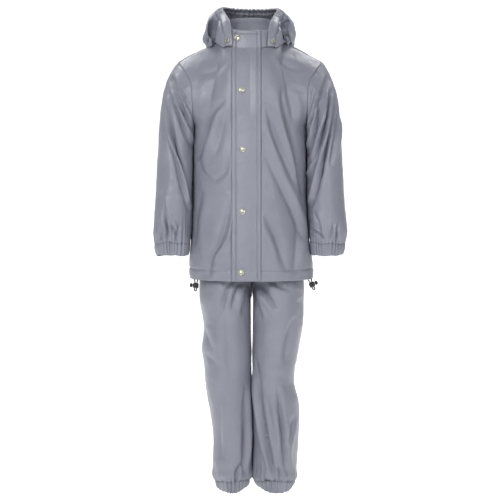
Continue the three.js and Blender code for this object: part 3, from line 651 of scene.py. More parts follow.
@dataclass(frozen=True)
class CoatedCloth:
    """Rain cloth: a fine woven base under a soft satin coating."""

    colour: Colour = (0.262, 0.270, 0.325)
    worn: Colour = (0.290, 0.300, 0.357)
    grain_size: float = 0.0007
    crumple_size: float = 0.016
    roughness: float = 0.42

    def material(self, name: str) -> bpy.types.Material:
        """Builds the finish.

        Args:
            name: The material's name.

        Returns:
            The material.
        """
        shader = Shader(name)
        cut = shader.node("UVMap", uv_map="cut").outputs["UV"]
        place = shader.node("TexCoord").outputs["Object"]
        cloud = shader.node("TexNoise", Vector=place, Scale=16.0, Detail=4.0, Roughness=0.6)
        shade = shader.node("MapRange", Value=cloud.outputs["Fac"], From_Min=0.3, From_Max=0.7)
        grain = shader.node("TexNoise", Vector=cut, Scale=1 / self.grain_size, Detail=2.0)
        creased = shader.node(
            "TexNoise", Vector=place, Scale=1 / self.crumple_size, Detail=5.0, Roughness=0.55, Distortion=0.6
        )
        weft = shader.node("TexWave", Vector=cut, Scale=0.5 / self.grain_size, bands_direction="X")
        warp = shader.node("TexWave", Vector=cut, Scale=0.5 / self.grain_size, bands_direction="Y")
        weave = shader.node("Math", operation="MULTIPLY")
        shader.join(weft.outputs["Fac"], weave.inputs[0])
        shader.join(warp.outputs["Fac"], weave.inputs[1])
        soft = shader.node("Bump", Strength=0.3, Distance=0.004, Height=creased.outputs["Fac"])
        fine = shader.node(
            "Bump", Strength=0.12, Distance=0.0002, Height=grain.outputs["Fac"], Normal=soft.outputs["Normal"]
        )
        woven = shader.node(
            "Bump", Strength=0.1, Distance=0.0001, Height=weave.outputs[0], Normal=fine.outputs["Normal"]
        )
        gloss = shader.node(
            "MapRange", Value=cloud.outputs["Fac"], From_Min=0.3, From_Max=0.7,
            To_Min=self.roughness - 0.05, To_Max=self.roughness + 0.06,
        )
        shader.set(
            Base_Color=shader.mix(shade.outputs["Result"], self.colour, self.worn),
            Roughness=gloss.outputs["Result"],
            Normal=woven.outputs["Normal"],
            Specular_IOR_Level=0.4,
            Coat_Weight=0.1,
            Coat_Roughness=0.34,
        )
        return shader.material


@dataclass(frozen=True)
class Thread:
    """Spun sewing thread, twisted along its length."""

    colour: Colour = (0.225, 0.232, 0.282)

    def material(self, name: str) -> bpy.types.Material:
        """Builds the finish.

        Args:
            name: The material's name.

        Returns:
            The material.
        """
        shader = Shader(name)
        place = shader.node("TexCoord").outputs["Object"]
        twist = shader.node("TexNoise", Vector=place, Scale=2500.0, Detail=1.0)
        relief = shader.node("Bump", Strength=0.4, Distance=0.0001, Height=twist.outputs["Fac"])
        darker = tuple(0.75 * value for value in self.colour)
        shader.set(
            Base_Color=shader.mix(twist.outputs["Fac"], darker, self.colour),
            Roughness=0.6,
            Normal=relief.outputs["Normal"],
        )
        return shader.material


@dataclass(frozen=True)
class SnapMetal:
    """Pale plated brass, brushed by wear."""

    colour: Colour = (0.62, 0.63, 0.55)
    dull: Colour = (0.42, 0.42, 0.34)

    def material(self, name: str) -> bpy.types.Material:
        """Builds the finish.

        Args:
            name: The material's name.

        Returns:
            The material.
        """
        shader = Shader(name)
        place = shader.node("TexCoord").outputs["Object"]
        wear = shader.node("TexNoise", Vector=place, Scale=700.0, Detail=4.0)
        gloss = shader.node("MapRange", Value=wear.outputs["Fac"], To_Min=0.28, To_Max=0.5)
        relief = shader.node("Bump", Strength=0.15, Distance=0.0002, Height=wear.outputs["Fac"])
        shader.set(
            Base_Color=shader.mix(wear.outputs["Fac"], self.dull, self.colour),
            Metallic=1.0,
            Roughness=gloss.outputs["Result"],
            Normal=relief.outputs["Normal"],
        )
        return shader.material


@dataclass(frozen=True)
class BlackPlastic:
    """Moulded black plastic with a faint orange-peel face."""

    colour: Colour = (0.012, 0.012, 0.014)

    def material(self, name: str) -> bpy.types.Material:
        """Builds the finish.

        Args:
            name: The material's name.

        Returns:
            The material.
        """
        shader = Shader(name)
        place = shader.node("TexCoord").outputs["Object"]
        peel = shader.node("TexNoise", Vector=place, Scale=1500.0, Detail=2.0)
        gloss = shader.node("MapRange", Value=peel.outputs["Fac"], To_Min=0.34, To_Max=0.5)
        relief = shader.node("Bump", Strength=0.2, Distance=0.0002, Height=peel.outputs["Fac"])
        lighter = tuple(1.8 * value for value in self.colour)
        shader.set(
            Base_Color=shader.mix(peel.outputs["Fac"], self.colour, lighter),
            Roughness=gloss.outputs["Result"],
            Normal=relief.outputs["Normal"],
        )
        return shader.material


@dataclass(frozen=True)
class BraidedCord:
    """Braided elastic cord, with painted shade in the gaps between its strands."""

    colour: Colour = (0.014, 0.014, 0.016)

    def material(self, name: str) -> bpy.types.Material:
        """Builds the finish.

        Args:
            name: The material's name.

        Returns:
            The material.
        """
        shader = Shader(name)
        place = shader.node("TexCoord").outputs["Object"]
        braid = shader.node("TexVoronoi", Vector=place, Scale=1300.0)
        relief = shader.node(
            "Bump", Strength=0.8, Distance=0.0003, Height=braid.outputs["Distance"], invert=True
        )
        # Painted shade: where the braid's relief is lowest, between the strands, the colour is darker than on
        # the raised strands.
        lighter = tuple(2.5 * value for value in self.colour)
        shader.set(
            Base_Color=shader.mix(braid.outputs["Distance"], lighter, self.colour),
            Roughness=0.8,
            Normal=relief.outputs["Normal"],
        )
        return shader.material


@dataclass(frozen=True)
class StudioPaper:
    """A plain pale paper for the floor and the backdrop, lit so that it shows white."""

    colour: Colour = (0.9, 0.9, 0.9)
    glow: float = 0.3

    def material(self, name: str) -> bpy.types.Material:
        """Builds the finish.

        Args:
            name: The material's name.

        Returns:
            The material.
        """
        shader = Shader(name)
        shader.set(
            Base_Color=(*self.colour, 1.0),
            Roughness=0.95,
            Emission_Color=(1.0, 1.0, 1.0, 1.0),
            Emission_Strength=self.glow,
        )
        return shader.material


class Finishes:
    """The suit's materials, each made once."""

    def __init__(self) -> None:
        """Builds every finish."""
        self.cloth = CoatedCloth().material("coated_cloth")
        self.thread = Thread().material("sewing_thread")
        self.snap = SnapMetal().material("snap_metal")
        self.plastic = BlackPlastic().material("lock_plastic")
        self.cord = BraidedCord().material("cord")


@dataclass(frozen=True)
class Stitching:
    """Rows of lockstitch, each stitch a small pod of thread that is half sunk in the cloth."""

    length: float = 2.7
    pitch: float = 3.4
    width: float = 0.42
    sink: float = 0.05

    def sew(self, name: str, lines: Sequence[tuple[Array, Array]], finishes: Finishes) -> bpy.types.Object:
        """Sews lines of stitches.

        Args:
            name: The piece's name.
            lines: Points on the cloth and the outward vectors there, for each line.
            finishes: The suit's materials.

        Returns:
            The stitches as one piece.
        """
        work = bmesh.new()
        bmesh.ops.create_icosphere(work, subdivisions=1, radius=1.0)
        pod = bpy.data.meshes.new(name + "_pod")
        work.to_mesh(pod)
        shape = np.array([vertex.co for vertex in work.verts]) * (self.length / 2, self.width, self.width)
        work.clear()
        placed = []
        for spots, sides in lines:
            run = np.pad(np.cumsum(np.linalg.norm(np.diff(spots, axis=0), axis=-1)), (1, 0))
            at = np.arange(self.pitch, run[-1] - self.pitch / 2, self.pitch)
            here, ahead, out = (
                np.stack([np.interp(at + step, run, table[:, k]) for k in range(3)], axis=-1)
                for table, step in ((spots, 0.0), (spots, 1.0), (sides, 0.0))
            )
            along = unit(ahead - here)
            out = unit(out - along * np.sum(along * out, axis=-1, keepdims=True))
            axes = np.stack([along, np.cross(out, along), out], axis=1)
            placed.append(here[:, None] + out[:, None] * self.sink + shape @ axes)
        spots = np.concatenate(placed)
        for _ in spots:
            work.from_mesh(pod)
        bpy.data.meshes.remove(pod)
        for vertex, spot in zip(work.verts, spots.reshape(-1, 3) * MM):
            vertex.co = spot
        for part in work.faces:
            part.smooth = True
        piece = finished(work, name, finishes.thread)
        return piece


@dataclass(frozen=True)
class Cut:
    """The cut of a cloth piece: width and length in metres, area in square metres."""

    flat: tuple[float, float]
    area: float
    held: Held = Held.STRETCHED


def dress(cloth: Cloth, node: str, finishes: "Finishes") -> None:
    """Makes a cloth piece that stands for a node, and hides the node's solid.

    Args:
        cloth: The shaped cloth.
        node: The solid's name, and the piece's.
        finishes: The suit's materials.
    """
    piece = cloth.mesh(node, finishes.cloth)
    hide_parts(node)


# Halvings when a place on a form is searched for.
SEARCH_STEPS = 16


@dataclass(frozen=True)
class Ring:
    """An oval line round the neck, which rises from the centre front to the centre back."""

    half: float
    front: float
    back: float
    front_z: float
    side_z: float
    back_z: float

    def at(self, angle: Array) -> Array:
        """Follows the ring.

        Args:
            angle: Degrees from the centre front.

        Returns:
            The points there.
        """
        turn = np.radians(angle)
        is_back = np.cos(turn) < 0
        depth = np.where(is_back, self.back, self.front)
        rise = np.where(is_back, self.back_z - self.side_z, self.side_z - self.front_z)
        return points(self.half * np.sin(turn), -depth * np.cos(turn), self.side_z - rise * np.cos(turn))


@dataclass(frozen=True)
class JacketForm:
    """The jacket's plain form, in millimetres."""

    armpit_z: float = -168
    hem_z: float = -488
    hem_rise: float = 7
    neck_share: float = 0.6
    neck: Ring = Ring(70, 64, 58, -6, 12, 32)
    collar_top: Ring = Ring(63, 58, 56, 30, 48, 70)
    collar_belly: float = 0.02
    shoulder_x: float = 70
    shoulder_length: float = 82
    shoulder_fall: float = 32
    shoulder_curve: float = 9
    casing_top: float = 20.0
    torso: Table = Table("z half front back lean", [
        (-490, 128.5, 104, 104, 3.5),
        (-445, 129.5, 103, 104, 1.5),
        (-386, 122.5, 99, 102, 0),
        (-310, 119, 95, 100, 0),
        (-226, 118, 94, 99, 0),
        (-168, 118, 92, 98, 0),
    ])
    centre_front: Table = Table("t y z", [
        (0, -92, -168), (0.4, -87, -100), (0.75, -77, -45), (1, -64, -6),
    ])
    centre_back: Table = Table("t y z", [
        (0, 98, -168), (0.45, 97, -76), (0.8, 80, 2), (1, 58, 32),
    ])
    armhole_front: Table = Table("t x y z", [
        (0, 118, 0, -168), (0.2, 119, -33, -154), (0.45, 120, -50, -118),
        (0.7, 123, -46, -78), (0.88, 137, -27, -50), (1, 152, 0, -29),
    ])
    armhole_back: Table = Table("t x y z", [
        (0, 118, 0, -168), (0.2, 118.5, 33, -154), (0.45, 121, 51, -118),
        (0.7, 127, 48, -78), (0.88, 140, 28, -49), (1, 152, 0, -29),
    ])

    def centre_line(self, face: Face) -> Table:
        """The centre line above the armpits."""
        return self.centre_front if face is Face.FRONT else self.centre_back

    def armhole(self, face: Face) -> Table:
        """The armhole seam from the armpit to the shoulder tip."""
        return self.armhole_front if face is Face.FRONT else self.armhole_back

    def curve(self, face: Face, u: Array, z: Array) -> Array:
        """The level line of the body below the armpits.

        Args:
            face: The front or the back.
            u: From the centre (0) to the side (1).
            z: The level.

        Returns:
            The points.
        """
        row = self.torso.at(z)
        depth = -row["front"] if face is Face.FRONT else row["back"]
        return points(row["half"] * np.sin(u * math.pi / 2), depth * np.cos(u * math.pi / 2), z)

    def top(self, face: Face, u: Array) -> Array:
        """The neck seam and then the shoulder seam.

        Args:
            face: The front or the back.
            u: From the centre (0) to the shoulder tip (1).

        Returns:
            The points.
        """
        quarter = u / self.neck_share * 90
        ring = self.neck.at(quarter if face is Face.FRONT else 180 - quarter)
        q = (u - self.neck_share) / (1 - self.neck_share)
        seam = points(
            self.shoulder_x + self.shoulder_length * q,
            np.zeros_like(q),
            self.neck.side_z - self.shoulder_fall * q - self.shoulder_curve * q * q,
        )
        return np.where((u <= self.neck_share)[..., None], ring, seam)

    def yoke(self, face: Face, u: Array, t: Array) -> Array:
        """The form above the armpits, filled in between its four edges.

        Args:
            face: The front or the back.
            u: From the centre (0) to the armhole (1).
            t: From the armpit's level (0) to the neck and the shoulder (1).

        Returns:
            The points.
        """
        centre = self.centre_line(face).at(t)
        edge = self.armhole(face).at(t)
        nothing, whole = np.zeros_like(u), np.ones_like(u)
        low, high = self.curve(face, u, self.armpit_z), self.top(face, u)
        low_centre = self.curve(face, nothing, self.armpit_z)
        low_side = self.curve(face, whole, self.armpit_z)
        high_centre, high_side = self.top(face, nothing), self.top(face, whole)
        u, t = u[..., None], t[..., None]
        return (
            low * (1 - t) + high * t
            + points(np.zeros_like(centre["y"]), centre["y"], centre["z"]) * (1 - u)
            + points(edge["x"], edge["y"], edge["z"]) * u
            - low_centre * (1 - u) * (1 - t) - low_side * u * (1 - t)
            - high_centre * (1 - u) * t - high_side * u * t
        )

    def body(self, side: Array, face: Face, u: Array, v: Array) -> Array:
        """The body of the jacket.

        Args:
            side: -1 on the wearer's right, 1 on the left.
            face: The front or the back.
            u: From the centre (0) to the side (1).
            v: From the hem (0) to the armpit (1), the neck and shoulder (2).

        Returns:
            The points.
        """
        u, v = (np.asarray(a, float) for a in np.broadcast_arrays(u, v))
        hem = self.hem_z + self.hem_rise * u * u
        lower = self.curve(face, u, lerp(hem, self.armpit_z, np.minimum(v, 1)))
        upper = self.yoke(face, u, np.clip(v - 1, 0, 1))
        place = np.where((v <= 1)[..., None], lower, upper)
        lean = self.torso.at(np.minimum(place[..., 2], self.armpit_z))["lean"]
        place[..., 0] = place[..., 0] * side + lean
        return place

    def column(self, side: Array, face: Face, x: Array, v: Array) -> Array:
        """Finds the column that lies at a sideways place.

        Args:
            side: -1 on the wearer's right, 1 on the left.
            face: The front or the back.
            x: The place.
            v: The row.

        Returns:
            The column's u.
        """
        low, high = np.zeros_like(x), np.ones_like(x)
        for _ in range(SEARCH_STEPS):
            middle = (low + high) / 2
            inside = side * self.body(side, face, middle, v)[..., 0] < side * x
            low, high = np.where(inside, middle, low), np.where(inside, high, middle)
        return (low + high) / 2

    def collar(self, angle: Array, h: Array) -> Array:
        """The stand collar.

        Args:
            angle: Degrees from the centre front.
            h: From the neck seam (0) to its top edge (1).

        Returns:
            The points.
        """
        low = self.neck.at(angle)
        low[..., 2] += 0.8
        place = lerp(low, self.collar_top.at(angle), h[..., None])
        belly = 1 + self.collar_belly * np.sin(math.pi * h)
        place[..., 0] *= belly
        place[..., 1] *= belly
        return place

    def flap(self, x: Array, k: Array) -> Array:
        """What the storm flap lies on.

        Args:
            x: The sideways place.
            k: From the hem (0) over the armpits (1) and the neck seam (2) to the collar's top (3).

        Returns:
            The points.
        """
        side = np.where(x < 0, -1.0, 1.0)
        v = np.minimum(k, 2)
        lower = self.body(side, Face.FRONT, self.column(side, Face.FRONT, x, v), v)
        lower[..., 0] = x
        h = np.clip(k - 2, 0, 1)
        half = lerp(self.neck.half, self.collar_top.half, h) * (1 + self.collar_belly * np.sin(math.pi * h))
        upper = self.collar(np.degrees(np.arcsin(x / half)), h)
        return np.where((k <= 2)[..., None], lower, upper)


def grid(us: Array, vs: Array) -> tuple[Array, Array]:
    """Two arrays of the columns' and the rows' values, rows by columns."""
    return np.meshgrid(us, vs)


# Each crease has its path, width, depth, ridge and peak, placed from the photograph's view.
FRONT_CREASES = [
    Crease(((-50, -112), (-80, -140), (-96, -180), (-113, -238)), 8.1, 14.2, 0.5, 0.55),
    Crease(((-54, -126), (-57, -170), (-72, -232)), 6.3, 5.3, -0.4),
    Crease(((-108, -238), (-96, -266), (-74, -282)), 5.4, 3.8, 0.5),
    Crease(((-40, -225), (-50, -262), (-76, -285)), 5.4, 3.8, 0.5),
    Crease(((-37, -318), (-60, -402), (-80, -436), (-85, -484)), 7.2, 10.9, 0.7, 0.6),
    Crease(((-38, -398), (-55, -430), (-74, -458)), 4.6, 3.5, 0.5),
    Crease(((-100, -300), (-112, -350), (-116, -420)), 7.2, 6.1, 0.5),
    Crease(((-40, -30), (-72, -52), (-112, -60)), 8.1, 3.5, 0.4),
    Crease(((66, -88), (72, -142), (94, -222), (113, -318)), 6.3, 14.2, -0.6, 0.45),
    Crease(((78, -98), (88, -128), (88, -170)), 8.1, 5.6, 0.4),
    Crease(((30, -122), (62, -212), (99, -300)), 6.3, 8.2, -0.5),
    Crease(((27, -220), (54, -272), (88, -336), (113, -408)), 6.7, 10.9, 0.55, 0.6),
    Crease(((44, -150), (50, -185), (70, -236)), 5.4, 4.3, 0.5),
    Crease(((31, -350), (56, -405), (76, -470)), 9.0, 8.2, -0.5),
    Crease(((30, -392), (42, -430), (52, -458)), 5.4, 3.5, 0.5),
    Crease(((100, -372), (98, -420), (90, -474)), 8.1, 7.2, 0.5),
    Crease(((45, -20), (80, -42), (112, -52)), 8.1, 3.5, 0.4),
]
# Those on the back, and on the backs of sleeves and legs, are guessed after the front ones.
BACK_CREASES = [
    Crease(((-42, -130), (-78, -185), (-106, -262)), 9.0, 7.2, 0.5),
    Crease(((-60, -180), (-88, -240), (-112, -330)), 7.0, 3.9, 0.5),
    Crease(((38, -138), (74, -200), (108, -278)), 9.0, 7.2, -0.5),
    Crease(((66, -190), (92, -262), (114, -345)), 7.0, 3.9, -0.5),
    Crease(((-28, -278), (-44, -370), (-62, -474)), 9.0, 5.4, 0.5, 0.6),
    Crease(((36, -298), (50, -380), (71, -470)), 9.0, 5.4, -0.5, 0.6),
    Crease(((2, -230), (-6, -300), (4, -390)), 8.0, 2.7, 0.5),
    Crease(((-96, -360), (-92, -420), (-100, -478)), 8.0, 3.9, 0.5),
    Crease(((100, -330), (94, -400), (98, -476)), 8.0, 3.9, -0.5),
    Crease(((-70, -40), (-86, -90), (-88, -140)), 8.0, 3.6, 0.5),
    Crease(((72, -44), (88, -96), (88, -150)), 8.0, 3.6, -0.5),
]
SLEEVE_CREASES = {
    Side.RIGHT: {
        Face.FRONT: [
            Crease(
                ((-182, -104), (-176, -168), (-156, -233), (-139, -297), (-126, -345)), 3.2, 11.9, 0.6, 0.6
            ),
            Crease(((-177, -112), (-163, -178), (-141, -249), (-120, -330)), 3.6, 18.1, -0.55, 0.55),
            Crease(((-169, -92), (-150, -141), (-134, -178), (-120, -214)), 3.2, 12.6, 0.5),
            Crease(((-160, -82), (-141, -126), (-123, -168)), 3.2, 12.6, 0.5, 0.65),
            Crease(((-148, -84), (-134, -112), (-122, -132)), 2.9, 9.1, 0.5),
            Crease(((-136, -96), (-126, -116), (-121, -140)), 2.5, 8.4, 0.5),
            Crease(((-166, -56), (-158, -76), (-150, -100)), 4.3, 6.2, 0.4),
            Crease(((-186, -300), (-178, -352), (-166, -396)), 5.1, 7.7, 0.5),
            Crease(((-192, -360), (-184, -384), (-186, -408)), 3.6, 9.1, 0.5, 0.6),
            Crease(((-181, -352), (-173, -378), (-172, -406)), 3.6, 9.1, 0.5, 0.6),
            Crease(((-166, -360), (-162, -376), (-150, -396)), 3.6, 7.7, 0.5, 0.6),
            Crease(((-146, -372), (-151, -388), (-151, -408)), 2.9, 7.1, -0.5, 0.6),
        ],
        Face.BACK: [
            Crease(((-182, -110), (-160, -190), (-128, -262)), 4.3, 14.6, 0.5),
            Crease(((-186, -190), (-164, -262), (-130, -340)), 4.3, 14.6, 0.5),
            Crease(((-178, -80), (-152, -134), (-128, -180)), 3.6, 10.4, 0.5),
            Crease(((-190, -270), (-172, -330), (-142, -388)), 4.3, 9.8, 0.5),
        ],
    },
    Side.LEFT: {
        Face.FRONT: [
            Crease(((180, -98), (170, -165), (154, -233), (138, -297), (124, -345)), 3.6, 18.1, -0.6, 0.55),
            Crease(((169, -86), (161, -144), (145, -201), (130, -246)), 3.6, 16.0, -0.5),
            Crease(((152, -88), (141, -137), (133, -185), (119, -230)), 3.2, 14.6, -0.5),
            Crease(((142, -108), (133, -140), (122, -172)), 2.9, 10.4, -0.5),
            Crease(((134, -88), (128, -112), (121, -136)), 2.9, 9.8, 0.5),
            Crease(((186, -120), (179, -190), (166, -250)), 3.6, 9.8, 0.6),
            Crease(((142, -226), (134, -252), (119, -286)), 3.2, 11.2, -0.5),
            Crease(((163, -58), (156, -82), (146, -104)), 4.3, 6.2, -0.4),
            Crease(((131, -318), (125, -340), (124, -366)), 3.6, 7.7, 0.5),
            Crease(((126, -384), (140, -388), (154, -400)), 2.9, 7.7, 0.4),
            Crease(((130, -340), (142, -372), (150, -402)), 3.6, 5.5, 0.4),
            Crease(((176, -368), (170, -384), (168, -406)), 2.9, 7.7, 0.5, 0.6),
            Crease(((188, -364), (181, -384), (180, -406)), 2.9, 7.7, 0.5, 0.6),
        ],
        Face.BACK: [
            Crease(((184, -118), (162, -184), (130, -250)), 4.3, 14.6, -0.5),
            Crease(((186, -200), (166, -276), (132, -346)), 4.3, 14.6, -0.5),
            Crease(((176, -78), (152, -128), (128, -172)), 3.6, 10.4, -0.5),
            Crease(((192, -280), (176, -338), (146, -392)), 4.3, 9.8, -0.5),
        ],
    },
}
HOOD_CREASES = [
    Crease(((-76, 60), (-81, 36), (-86, 18), (-88, 0)), 7.0, 20.0, 0.15, 0.5),
    Crease(((84, 66), (71, 44), (75, 25), (82, 4)), 4.5, 14.0, 0.2),
    Crease(((66, 50), (60, 36), (56, 23)), 3.0, 5.0, 0.4),
    Crease(((-66, 40), (-69, 26), (-74, 12)), 3.5, 4.0, -0.4),
    Crease(((92, 44), (89, 30), (92, 12)), 3.5, 4.0, 0.4),
]
TROUSER_CREASES = {
    Face.FRONT: [
        Crease(((-18, -486), (-30, -512), (-36, -546)), 4.5, 10.5, 0.5),
        Crease(((-34, -480), (-50, -515), (-60, -556)), 4.8, 9.2, 0.5),
        Crease(((-2, -492), (-9, -520), (-18, -560)), 4.0, 10.0, -0.4),
        Crease(((14, -486), (30, -512), (55, -548)), 4.8, 11.9, -0.5),
        Crease(((8, -496), (14, -530), (24, -566)), 4.0, 9.2, 0.5),
        Crease(((40, -484), (62, -500), (88, -506)), 4.8, 5.2, -0.4),
        Crease(((-97, -584), (-84, -618), (-68, -650)), 7.0, 2.8, 0.6, 0.4),
        Crease(((-96, -640), (-80, -650), (-62, -672)), 8.0, 2.4, 0.5),
        Crease(((92, -560), (78, -606), (72, -660)), 6.5, 7.9, -0.5),
        Crease(((-10, -700), (-9, -800), (-13, -895)), 3.6, 18.4, 0.5, 0.6),
        Crease(((-14, -866), (-27, -884), (-30, -906)), 3.2, 11.9, 0.5),
        Crease(((12, -640), (20, -735), (34, -820), (52, -902)), 4.0, 18.4, -0.6, 0.6),
        Crease(((30, -720), (44, -780), (54, -850)), 5.7, 6.6, 0.5),
        Crease(((56, -700), (64, -768), (72, -836), (76, -892)), 4.8, 15.9, 0.5, 0.55),
        Crease(((92, -770), (84, -804), (78, -840)), 4.0, 7.2, 0.5),
        Crease(((60, -874), (64, -888), (62, -905)), 4.0, 11.1, -0.4),
        Crease(((33, -896), (36, -904), (37, -914)), 3.2, 7.9, 0.4),
        Crease(((-62, -700), (-66, -780), (-60, -860)), 8.1, 6.6, 0.4),
        Crease(((-50, -560), (-46, -620), (-40, -700)), 9.7, 5.2, -0.4),
    ],
    Face.BACK: [
        Crease(((-20, -556), (-40, -630), (-61, -702)), 6.5, 13.1, 0.5),
        Crease(((24, -566), (44, -640), (63, -716)), 6.5, 13.1, -0.5),
        Crease(((-61, -738), (-46, -810), (-33, -884)), 5.2, 14.5, 0.5),
        Crease(((67, -742), (54, -815), (39, -884)), 5.2, 14.5, -0.5),
        Crease(((-86, -600), (-70, -650), (-52, -680)), 4.8, 7.9, 0.5),
        Crease(((96, -610), (84, -660), (62, -690)), 4.8, 7.9, -0.5),
        Crease(((-16, -494), (-34, -520), (-44, -556)), 4.8, 10.0, 0.5),
        Crease(((20, -494), (38, -522), (50, -560)), 4.8, 10.0, -0.5),
        Crease(((-14, -690), (-20, -780), (-16, -880)), 4.0, 10.5, 0.5),
        Crease(((14, -690), (24, -780), (22, -880)), 4.0, 10.5, -0.5),
    ],
}


# Half the way between the layers of a hem, a depth past any casing's, and the share left at a seam.
HEM_FOLD = 1.0
WHOLE_DEPTH = 60
SEAM_SHARE = 0.0012


@dataclass
class Jacket:
    """The jacket's body: two fronts, the back, the collar and the storm flap with its snaps."""

    form: JacketForm
    finishes: Finishes
    columns: int = 84
    rows_low: int = 120
    rows_high: int = 58
    seam_dip: float = 0.5
    neck_dip: float = 0.6
    seam_width: float = 1.7
    flap_shadow: float = 2.4
    front_softness: Softness = Softness(1.5, 40, 0.6, 21, 3, 3)
    back_softness: Softness = Softness(1.6, 44, 0.6, 21, 9, 3)
    collar_stitch: float = 6
    collar_foot_stitch: float = 3
    flap_free_stitch: float = 7
    flap_seam_stitch: float = 8.5
    flap_edge_stitch: float = 1.2
    flap_snap_radius: float = 6.5
    flap_free_x: float = -35.5
    flap_seam_x: float = 23.7
    flap_lift: float = 3.0
    flap_middle: float = -6.0
    snaps: Sequence[tuple[float, float]] = (
        (-24.8, 16), (-16.8, -94), (-14.7, -218), (-14.7, -345), (-18.3, -470),
    )

    def rows(self) -> Array:
        """Spaces the rows from the hem to the neck.

        Returns:
            Their values.
        """
        return np.concatenate([
            np.linspace(0, 1, self.rows_low, endpoint=False),
            np.linspace(1, 1.9985, self.rows_high),
        ])

    def hem_relief(self, cloth: Cloth) -> Array:
        """The turned-up hem's step, its stitch groove and its small puckers.

        Args:
            cloth: A front or the back.

        Returns:
            Their height at each point.
        """
        top = self.form.casing_top
        step = 0.8 * (1 - smooth(top - 2, top + 1, cloth.low))
        groove = -1.2 * bump(cloth.low - top, 1.8)
        pucker = 0.5 * grain_noise(cloth.place * (1, 1, 0.25), 9, 5) * bump(cloth.low - 12, 16)
        return step + groove + pucker

    def front(self, side: Side) -> Cloth:
        """Shapes one front.

        Args:
            side: Which front.

        Returns:
            The shaped cloth.
        """
        u, v = grid(spaced(SEAM_SHARE, 1 - SEAM_SHARE, self.columns), self.rows())
        cloth = Cloth(self.form.body(side.value, Face.FRONT, u, v), side.value)
        x, z = cloth.place[..., 0], cloth.place[..., 2]
        clear = smooth(0, 0.22, 1 - u) * smooth(0, 0.08, 2 - v)
        clear *= smooth(22, 32, side.value * (x - self.flap_middle) - 4)
        relief = crease_height(FRONT_CREASES, x, z) * clear + self.hem_relief(cloth)
        relief -= self.seam_dip * bump(cloth.right, 1.6)
        relief -= self.neck_dip * bump(cloth.high, 1.8)
        relief -= self.flap_shadow * bump(x - self.flap_free_x + 0.6, self.seam_width)
        self.front_softness.soften(cloth.lift(relief))
        cloth.measure()
        return cloth

    def build(self) -> None:
        """Makes the fronts, the back, the collar, the flap and its snaps."""
        lines = []
        for node, cut, cloth in (
            ("jacket_front_right", "jacket_front", self.front(Side.RIGHT)),
            ("jacket_front_left", "jacket_front", self.front(Side.LEFT)),
            ("jacket_back", "jacket_back", self.back()),
        ):
            lines.append(cloth.line(Edge.LOW, self.form.casing_top))
            dress(cloth.fold(Edge.LOW, HEM_FOLD, self.form.casing_top), node, self.finishes)
        lines += self.collar()
        lines += self.flap()
        Stitching().sew("jacket_stitches", lines, self.finishes)

    def back(self) -> Cloth:
        """Shapes the back, from the right side seam to the left one.

        Returns:
            The shaped cloth.
        """
        u, v = grid(spaced(SEAM_SHARE - 1, 1 - SEAM_SHARE, 2 * self.columns - 15), self.rows())
        side = np.where(u < 0, -1.0, 1.0)
        cloth = Cloth(self.form.body(side, Face.BACK, np.abs(u), v), -1)
        x, z = cloth.place[..., 0], cloth.place[..., 2]
        clear = smooth(0, 0.22, 1 - np.abs(u)) * smooth(0, 0.1, 2 - v)
        relief = crease_height(BACK_CREASES, x, z) * clear + self.hem_relief(cloth)
        for run, dip in (
            (cloth.left, self.seam_dip), (cloth.right, self.seam_dip), (cloth.high, self.neck_dip),
        ):
            relief -= dip * bump(run, self.seam_width)
        self.back_softness.soften(cloth.lift(relief))
        cloth.measure()
        return cloth

    def collar(self) -> list[tuple[Array, Array]]:
        """Makes the stand collar.

        Returns:
            Its stitch lines.
        """
        angle, h = grid(np.linspace(0.4, 359.6, 150), np.linspace(0, 1, 18))
        cloth = Cloth(self.form.collar(angle, h), 1)
        ripple = 0.6 * grain_noise(cloth.place * (1, 1, 0.5), 13, 8)
        groove = 0.5 * bump(cloth.high - self.collar_stitch, 1.3)
        groove += 0.4 * bump(cloth.low - self.collar_foot_stitch, 1.5)
        cloth.lift(ripple - groove)
        cloth.measure()
        lines = [
            cloth.line(Edge.HIGH, self.collar_stitch), cloth.line(Edge.LOW, self.collar_foot_stitch),
        ]
        dress(cloth.fold(Edge.HIGH, HEM_FOLD, WHOLE_DEPTH, 1), "collar", self.finishes)
        return lines

    def flap(self) -> list[tuple[Array, Array]]:
        """Makes the storm flap and its snaps.

        Returns:
            Its stitch lines.
        """
        ks = np.concatenate([
            np.linspace(0, 1, 110, endpoint=False),
            np.linspace(1, 2, 62, endpoint=False),
            np.linspace(2, 3, 18),
        ])
        x, k = grid(np.linspace(self.flap_free_x, self.flap_seam_x, 50), ks)
        cloth = Cloth(self.form.flap(x, k), 1)
        top = self.form.casing_top
        relief = self.flap_lift + 0.7 * (1 - smooth(top - 2, top + 1, cloth.low))
        relief += 0.9 * grain_noise(cloth.place * (0.5, 0.5, 0.4), 11, 12)
        for run, depth, width in (
            (cloth.left - self.flap_free_stitch, 1.9, 1.5),
            (cloth.right - self.flap_seam_stitch, 1.7, 1.5),
            (cloth.right, 2.4, 2.0),
            (cloth.high - self.collar_stitch, 1.0, 1.6),
        ):
            relief -= depth * bump(run, width)
        cloth.lift(relief)
        cloth.measure()
        lines = [cloth.line(edge, offset) for edge, offset in (
            (Edge.LEFT, self.flap_free_stitch), (Edge.RIGHT, self.flap_seam_stitch),
            (Edge.RIGHT, self.flap_edge_stitch), (Edge.HIGH, self.collar_stitch),
        )]
        for number, (snap_x, snap_z) in enumerate(self.snaps, 1):
            spot = np.argmin(np.hypot(cloth.place[..., 0] - snap_x, cloth.place[..., 2] - snap_z))
            place, out = (table.reshape(-1, 3)[spot] for table in (cloth.place, cloth.out()))
            Snap(self.flap_snap_radius).build(f"flap_snap_{number}", place, out, self.finishes)
        cloth.fold(Edge.LEFT, 0.9, 10).fold(Edge.HIGH, 0.9, 8)
        dress(cloth, "storm_flap", self.finishes)
        return lines


